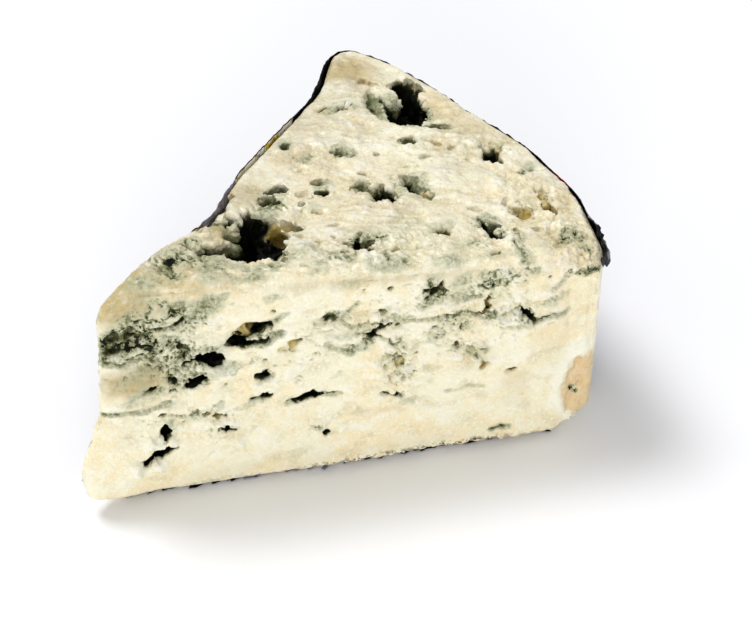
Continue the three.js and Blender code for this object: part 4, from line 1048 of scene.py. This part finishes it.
# The foil. Rim heights are above the cheese's own edge, leans are how far the rim stands
# off it: along the second cut by distance from the tip, along the rind by the angle.
foilLook = {
    "columns": 400,
    "baseRows": 24,
    "footRows": 6,
    "wallRows": 60,
    "gap": 0.32,
    "thick": 0.10,
    "cutRim": [(0, -34), (4, -30), (9, -16), (14, -7), (19, -3.2), (24, -5.0), (27, -3.2), (29, -1.2), (32, -0.8), (36, -0.9), (42, -0.4), (48, 0.1), (60, 0.25), (72, 0.2), (80, -0.1), (84, 0.2), (92, 0.3), (97, -0.2), (101, -0.6)],
    "cutLean": [(0, 0), (79, 0.0), (84, 0.5), (90, 0.5), (96, 0.1)],
    "cutRoll": [(0, 0), (46, 0), (50, 0.25), (70, 0.25), (74, 0)],
    "rindRoll": [(-2, 0.6), (7, 0.3), (9, 0), (50, 0)],
    "cutHug": [(0, 0), (46, 0), (50, 0.25), (78, 0.25), (82, 0), (94, 0), (98, 1)],
    "rindRim": [(-2, 0.5), (0.5, 1.3), (5, 1.5), (8.5, 0.0), (13, -0.3), (20, -0.4), (24, -0.9), (30, -1.1), (36, -1.1), (42, -1.2), (47, -0.8), (50, -0.6)],
    "rindLean": [(-2, 0.5), (6, 0.3), (9.5, 0.2), (20, 0.1), (25, 0.1), (30, 0.1), (36, 0.1), (50, 0.0)],
    "rindHug": [(-2, 0.9), (8, 0.9), (10, 0.7), (36, 0.7), (42, 1), (50, 1)],
    "cutTrim": [(0, 0), (25, 0), (26, 1), (31, 1), (32, 0), (47, 0), (48, 1), (70, 1), (72, 0)],
    "rindTrim": [(0, 0), (50, 0)],
    "cutShine": [(0, 0), (24, 0), (28, 1), (47, 1), (50, 0)],
    "rindShine": [(0, 0), (50, 0)],
    "cutSpot": [(0, 0), (100, 0)],
    "rindSpot": [(0, 0), (13.6, 0), (14.2, 1), (16.2, 1), (16.8, 0), (50, 0)],
    "navy": linear(16, 17, 38),
    "ink": linear(10, 10, 14),
    "silver": linear(176, 172, 188),
    "dullSilver": linear(128, 124, 142),
    "yellow": linear(232, 200, 62),
    "red": linear(168, 26, 34),
    "paper": linear(238, 236, 226),
}


# One sheet of foil over a grid of columns round the wedge and rows from the middle of the
# base to the rim, cut away along the main cut.
def makeFoil():
    columns, baseRows, footRows, wallRows = (foilLook[name] for name in ("columns", "baseRows", "footRows", "wallRows"))
    rows = baseRows + footRows + wallRows
    deselectAll()
    bpy.ops.mesh.primitive_grid_add(x_subdivisions=columns, y_subdivisions=rows, size=0.1)
    foil = bpy.context.object
    foil.name = "foilSheet"
    rim = planOutline(columns)
    heart = np.array(wheel["heart"])
    along = np.roll(rim, -1, axis=0) - np.roll(rim, 1, axis=0)
    along /= np.linalg.norm(along, axis=1)[:, None]
    outward = np.stack([along[:, 1], -along[:, 0]], axis=1)
    apart = np.hypot(rim[:, 0], rim[:, 1])
    angle = np.degrees(np.arctan2(rim[:, 1], rim[:, 0]))
    flat = np.column_stack([rim, np.zeros(columns)])
    onRind = (apart > 99.2) & (angle < 47.6)
    onRind |= (rim[:, 1] < 5) & (rim[:, 0] > 90)
    jag = grain(flat, (0.5, 0.5, 0.5), 3, 61)

    def alongRim(cutTable, rindTable):
        cutValue = np.interp(apart, *zip(*foilLook[cutTable]))
        rindValue = np.interp(angle, *zip(*foilLook[rindTable]))
        value = np.where(onRind, rindValue, cutValue)
        return np.convolve(np.concatenate([value[-2:], value, value[:2]]), np.ones(5) / 5, "valid")

    over, lean, roll, hug, trim, shine, spot = (
        alongRim("cut" + name, "rind" + name) for name in ("Rim", "Lean", "Roll", "Hug", "Trim", "Shine", "Spot")
    )
    over = over + 0.35 * jag + 0.25 * grain(flat, (1.3, 1.3, 1.3), 2, 62)
    rind, tip = rindness(rim), tipness(rim)
    footRound = footRounding(rim)
    topRound = 1.5 + 2.4 * tip
    frontEdge = (rim[:, 1] < 0.6) & (rim[:, 0] < 97)
    scraps = smooth(-0.1, 0.3, grain(flat, (0.1, 0.1, 0.1), 2, 67)) * (rim[:, 0] < 92)
    ragged = 1.5 - (0.45 + 0.9 * scraps) * np.clip(2.8 * grain(flat, (0.6, 0.6, 0.6), 3, 68), -0.6, 1)
    reach = np.where(frontEdge, np.maximum(ragged, footRound * smooth(88, 97, rim[:, 0])), footRound)
    top = crown(rim) + over
    points = np.zeros((rows + 1, columns + 1, 3))
    below = np.zeros((rows + 1, columns + 1))
    for row in range(rows + 1):
        if row <= baseRows:
            share = row / baseRows
            edge = heart + (rim - heart) * (1 - reach / 28)[:, None]
            place = heart + (edge - heart) * share
            z = np.full(columns, 0.3)
        elif row <= baseRows + footRows:
            swing = (row - baseRows) / footRows * math.pi / 2
            inset = footRound * (1 - math.sin(swing))
            place = heart + (rim - heart) * (1 - inset / 28)[:, None] + outward * (foilLook["gap"] * math.sin(swing))
            z = wheel["foot"] + footRound - (footRound + foilLook["gap"]) * math.cos(swing)
            z = np.maximum(z, 0.3)
        else:
            level = (row - baseRows - footRows) / wallRows
            start = wheel["foot"] + footRound
            z = start + (np.maximum(top, start + 0.4) - start) * level
            near = smooth(-9, 0, z - top)
            inward = wheel["rindTaper"] * rind * (1 - (z - 1) / 43.6) - wheel["tipFlare"] * tip * np.exp(-((z - 1 - wheel["flareHeight"]) / wheel["flareReach"]) ** 2)
            # Where it hugs the cheese, it bends in over the rounded edge.
            high = np.clip(z - (crown(rim) - topRound), 0, None)
            bent = np.sqrt(np.maximum((topRound + foilLook["gap"]) ** 2 - high ** 2, 0.2)) - topRound
            stand = foilLook["gap"] * (1 - hug) + bent * hug
            place = heart + (rim - heart) * (1 - inward / 28)[:, None] + outward * (stand + lean * near + roll * smooth(-1.4, 0, z - top))[:, None]
        points[row, :columns] = np.column_stack([place, z])
        below[row, :columns] = top - z
    points[:, columns] = points[:, 0]
    below[:, columns] = below[:, 0]
    flatPoints = points.reshape(-1, 3)
    outwards = np.tile(np.vstack([np.column_stack([outward, np.zeros(columns)]), [[*outward[0], 0]]]), (rows + 1, 1))
    rowOf = np.repeat(np.arange(rows + 1), columns + 1)
    # Creases: sharp ridges, larger near the rim, largest at the crumpled flap by the main cut.
    flap = (1 - smooth(11, 15, flatPoints[:, 1])) * smooth(90, 96, flatPoints[:, 0]) * smooth(-7, -2, -below.ravel())
    crinkle = 0.5 * ridges(flatPoints, (0.09, 0.09, 0.07), 2, 63) + 0.3 * ridges(flatPoints, (0.3, 0.3, 0.22), 2, 64)
    nearRim = 1 - smooth(0, 9, below.ravel())
    wall = smooth(baseRows, baseRows + footRows, rowOf)
    out = crinkle * (0.75 - 0.45 * nearRim) * wall + 0.7 * flap * ridges(flatPoints, (0.24, 0.24, 0.24), 2, 65)
    flatPoints = flatPoints + outwards * out[:, None]
    flatPoints[:, 2] += (0.12 * (crinkle - 0.5) * (1 - wall) + flap * 0.3 * grain(flatPoints, (0.5, 0.5, 0.5), 2, 66))
    setPoints(foil, toModel(flatPoints))
    # Print runs along the sheet, so it has its own coordinates: length and drop from the rim.
    length = np.concatenate([[0], np.cumsum(np.linalg.norm(np.diff(np.vstack([rim, rim[:1]]), axis=0), axis=1))])
    unrolled = np.column_stack([np.tile(length, rows + 1) / 100, (50 - below.ravel()) / 100])
    corners = np.empty(len(foil.data.loops), dtype=np.int32)
    foil.data.loops.foreach_get("vertex_index", corners)
    foil.data.uv_layers[0].data.foreach_set("uv", unrolled[corners].ravel().astype(np.float32))
    for name, values in (("trim", trim), ("shine", shine), ("spot", spot)):
        storeMark(foil, name, np.tile(np.append(values, values[0]), rows + 1))
    # Cut away what isn't there: the main cut's side, and the rind's corner below the flap.
    column = np.arange(columns)
    bare = frontEdge & (rim[:, 0] < 97.5) | (apart < 3)
    bare |= np.roll(bare, -1)
    drop = np.zeros((rows, columns), dtype=bool)
    drop[baseRows:, :] |= bare[None, :]
    # The wall's two ends are torn off slantwise.
    deepRows, jags = below[baseRows:rows, :columns], 1.6 * jag[None, :]
    nearCorner = (rim[:, 0] > 90)[None, :] & (rim[:, 1][None, :] < jags + 9 * smooth(1.5, 9, deepRows) + 0.8)
    nearTip = (apart[None, :] < jags + 7) & (points[baseRows:rows, :columns, 2] > 5)
    drop[baseRows:, :] |= nearCorner | nearTip
    foil.data.polygons.foreach_set("select", drop.ravel())
    bpy.ops.object.mode_set(mode="EDIT")
    bpy.ops.mesh.select_mode(type="FACE")
    bpy.ops.object.mode_set(mode="OBJECT")
    foil.data.polygons.foreach_set("select", drop.ravel())
    bpy.ops.object.mode_set(mode="EDIT")
    bpy.ops.mesh.delete(type="FACE")
    bpy.ops.mesh.select_mode(type="VERT")
    bpy.ops.mesh.select_all(action="SELECT")
    bpy.ops.mesh.remove_doubles(threshold=0.00001)
    bpy.ops.mesh.delete_loose()
    bpy.ops.object.mode_set(mode="OBJECT")
    normals = normalsOf(foil)
    places = toWheel(pointsOf(foil))
    walls = places[:, 2] > 10
    if np.sum(normals[walls, :2] * (places[walls, :2] - heart)) < 0:
        bpy.ops.object.mode_set(mode="EDIT")
        bpy.ops.mesh.select_all(action="SELECT")
        bpy.ops.mesh.flip_normals()
        bpy.ops.object.mode_set(mode="OBJECT")
    return foil


# How far down from the rim, in tenths of a metre, from the sheet's own coordinates.
def dropBelowRim(bench):
    sheet = bench.add("ShaderNodeUVMap", uv_map="UVMap").outputs["UV"]
    split = bench.add("ShaderNodeSeparateXYZ")
    bench.feed(split.inputs[0], sheet)
    return bench.maths("SUBTRACT", 0.5, split.outputs["Y"])


def foilMaterial(name, inside):
    material = bpy.data.materials.new(name)
    material.use_nodes = True
    tree = material.node_tree
    shader = tree.nodes["Principled BSDF"]
    bench = NodeBench(tree)
    place = bench.place()
    colour = {name: (*value, 1) for name, value in foilLook.items() if isinstance(value, tuple) and len(value) == 3}
    clouds = bench.noise(place, 160, 3, 0.6)
    if inside:
        shade = bench.mix(bench.between(clouds, 0.35, 0.65), colour["silver"], colour["dullSilver"])
        shade = bench.mix(bench.between(bench.mark("shine"), 0.2, 0.6), colour["ink"], shade)
        # Along part of the rim the bare backing and the print's yellow edge show.
        drop = dropBelowRim(bench)
        trim = bench.between(bench.mark("trim"), 0.3, 0.6)
        torn, frayed = bench.noise(place, 420, 2, 0.6), bench.noise(place, 900, 2, 0.6)
        uneven = bench.maths("MULTIPLY_ADD", bench.maths("SUBTRACT", frayed, 0.5), 0.006, drop)
        for depth, low, high, name in ((0.022, 0.3, 0.36, "paper"), (0.020, 0.54, 0.58, "yellow"), (0.003, 0.3, 0.36, "ink")):
            edge = bench.maths("MULTIPLY", trim, bench.between(uneven, depth + 0.001, depth - 0.001))
            shade = bench.mix(bench.maths("MULTIPLY", edge, bench.between(torn, low, high)), shade, colour[name])
        spot = bench.maths("MULTIPLY", bench.between(bench.mark("spot"), 0.3, 0.6), bench.between(drop, 0.010, 0.006))
        shade = bench.mix(spot, shade, colour["red"])
        metal = bench.maths("MULTIPLY", bench.maths("MULTIPLY", bench.between(bench.mark("shine"), 0.2, 0.6), bench.maths("SUBTRACT", 1.0, trim)), 0.35)
    else:
        drop = dropBelowRim(bench)
        wander = bench.maths("MULTIPLY", bench.maths("SUBTRACT", bench.noise(place, 60, 2, 0.5), 0.5), 0.0014)
        height = bench.add("ShaderNodeSeparateXYZ")
        bench.feed(height.inputs[0], place)
        height = bench.maths("ADD", height.outputs["Z"], wander)
        drop = bench.maths("ADD", drop, bench.maths("MULTIPLY", wander, 8.0))
        shade = bench.mix(bench.between(clouds, 0.4, 0.6), colour["navy"], colour["ink"])

        def stripe(low, high, edge=0.00005):
            return bench.maths("MULTIPLY", bench.between(height, low - edge, low + edge), bench.between(height, high + edge, high - edge))

        for low, high, name in ((0.0322, 0.0334, "yellow"), (0.0308, 0.0312, "red"), (0.0092, 0.0098, "yellow")):
            shade = bench.mix(stripe(low, high), shade, colour[name])
        # Along part of the rim the print's yellow edge and the bare backing show.
        trim = bench.between(bench.mark("trim"), 0.3, 0.6)
        torn = bench.noise(place, 520, 2, 0.6)
        shade = bench.mix(bench.maths("MULTIPLY", bench.maths("MULTIPLY", trim, bench.between(drop, 0.014, 0.012)), bench.between(torn, 0.40, 0.46)), shade, colour["yellow"])
        shade = bench.mix(bench.maths("MULTIPLY", bench.maths("MULTIPLY", trim, bench.between(drop, 0.008, 0.006)), bench.between(torn, 0.62, 0.52)), shade, colour["paper"])
        spot = bench.maths("MULTIPLY", bench.between(bench.mark("spot"), 0.3, 0.6), bench.between(drop, 0.016, 0.012))
        shade = bench.mix(spot, shade, colour["red"])
        metal = 0.35
        shader.inputs["Coat Weight"].default_value = 0.35
        shader.inputs["Coat Roughness"].default_value = 0.12
    bench.feed(shader.inputs["Base Color"], shade)
    bench.feed(shader.inputs["Metallic"], metal)
    shader.inputs["Roughness"].default_value = 0.42 if inside else 0.24
    shader.inputs["Specular IOR Level"].default_value = 0.12 if inside else 0.3
    wrinkles = bench.maths("ADD", bench.noise(place, 420, 3, 0.6, 0.6), bench.maths("MULTIPLY", bench.noise(place, 1500, 2, 0.6), 0.3))
    # Sharp folds, where two slow noises cross their middle.
    for scale, sharp in ((80, 1.8), (190, 0.7)):
        fold = bench.maths("ABSOLUTE", bench.maths("SUBTRACT", bench.noise(place, scale, 2, 0.5, 0.8), 0.5))
        wrinkles = bench.maths("ADD", wrinkles, bench.maths("MULTIPLY", bench.between(fold, 0.12, 0.0), sharp))
    bump = bench.add("ShaderNodeBump")
    bump.inputs["Strength"].default_value = 0.9
    bump.inputs["Distance"].default_value = 0.0008
    bench.feed(bump.inputs["Height"], wrinkles)
    bench.feed(shader.inputs["Normal"], bump.outputs["Normal"])
    return material


foil = makeFoil()
foil.data.materials.clear()
foil.data.materials.append(foilMaterial("foilOutside", False))
foil.data.materials.append(foilMaterial("foilInside", True))
applyModifier(foil, "SOLIDIFY", thickness=foilLook["thick"] / 1000, offset=-1, material_offset=1, material_offset_rim=1)
activate(foil)
bpy.ops.object.shade_smooth_by_angle(angle=math.radians(35))
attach(foil, "root")
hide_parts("foil")
print("foil finished", len(foil.data.polygons))

# The photograph's view: the main cut in front, from a little above.
viewLook = {"target": (60.1, 22.4, 20.0), "distance": 600.0, "rise": 41.7, "turn": -12.9, "lens": 145.05}


def addCamera():
    rise, turn = math.radians(viewLook["rise"]), math.radians(viewLook["turn"])
    back = np.array([math.sin(turn) * math.cos(rise), -math.cos(turn) * math.cos(rise), math.sin(rise)])
    place = toModel(np.array([viewLook["target"]]) + back * viewLook["distance"])[0]
    deselectAll()
    bpy.ops.object.camera_add(location=tuple(place), rotation=(math.pi / 2 - rise, 0, turn))
    camera = bpy.context.object
    camera.data.sensor_width = 36
    camera.data.lens = viewLook["lens"]
    camera.data.clip_start = 0.01
    bpy.context.scene.camera = camera


stageLook = {
    "floorSize": 6.0,
    "floorColour": (0.965, 0.97, 1.0, 1),
    "lights": [
        ("key", (-0.80, 0.78, 2.20), 0.90, 36.0),
        ("front", (-0.72, -2.58, 0.80), 1.03, 27.0),
    ],
    "ambient": 0.49,
}


def addStage():
    deselectAll()
    bpy.ops.mesh.primitive_plane_add(size=stageLook["floorSize"], location=(0, 0, 0))
    floor = bpy.context.object
    floor.name = "floor"
    paint = bpy.data.materials.new("floorPaint")
    paint.use_nodes = True
    surface = paint.node_tree.nodes["Principled BSDF"]
    surface.inputs["Base Color"].default_value = stageLook["floorColour"]
    surface.inputs["Roughness"].default_value = 0.5
    floor.data.materials.append(paint)
    for name, place, size, power in stageLook["lights"]:
        bpy.ops.object.light_add(type="AREA", location=place)
        light = bpy.context.object
        light.name = name
        light.data.energy = power
        light.data.size = size
        light.rotation_euler = (Vector((0, 0, 0.02)) - Vector(place)).to_track_quat("-Z", "Y").to_euler()
    world = bpy.data.worlds.new("softRoom")
    world.use_nodes = True
    world.node_tree.nodes["Background"].inputs["Color"].default_value = (1, 1, 1, 1)
    world.node_tree.nodes["Background"].inputs["Strength"].default_value = stageLook["ambient"]
    bpy.context.scene.world = world
    bpy.context.scene.view_settings.view_transform = "Standard"


addCamera()
addStage()
print("stage set")
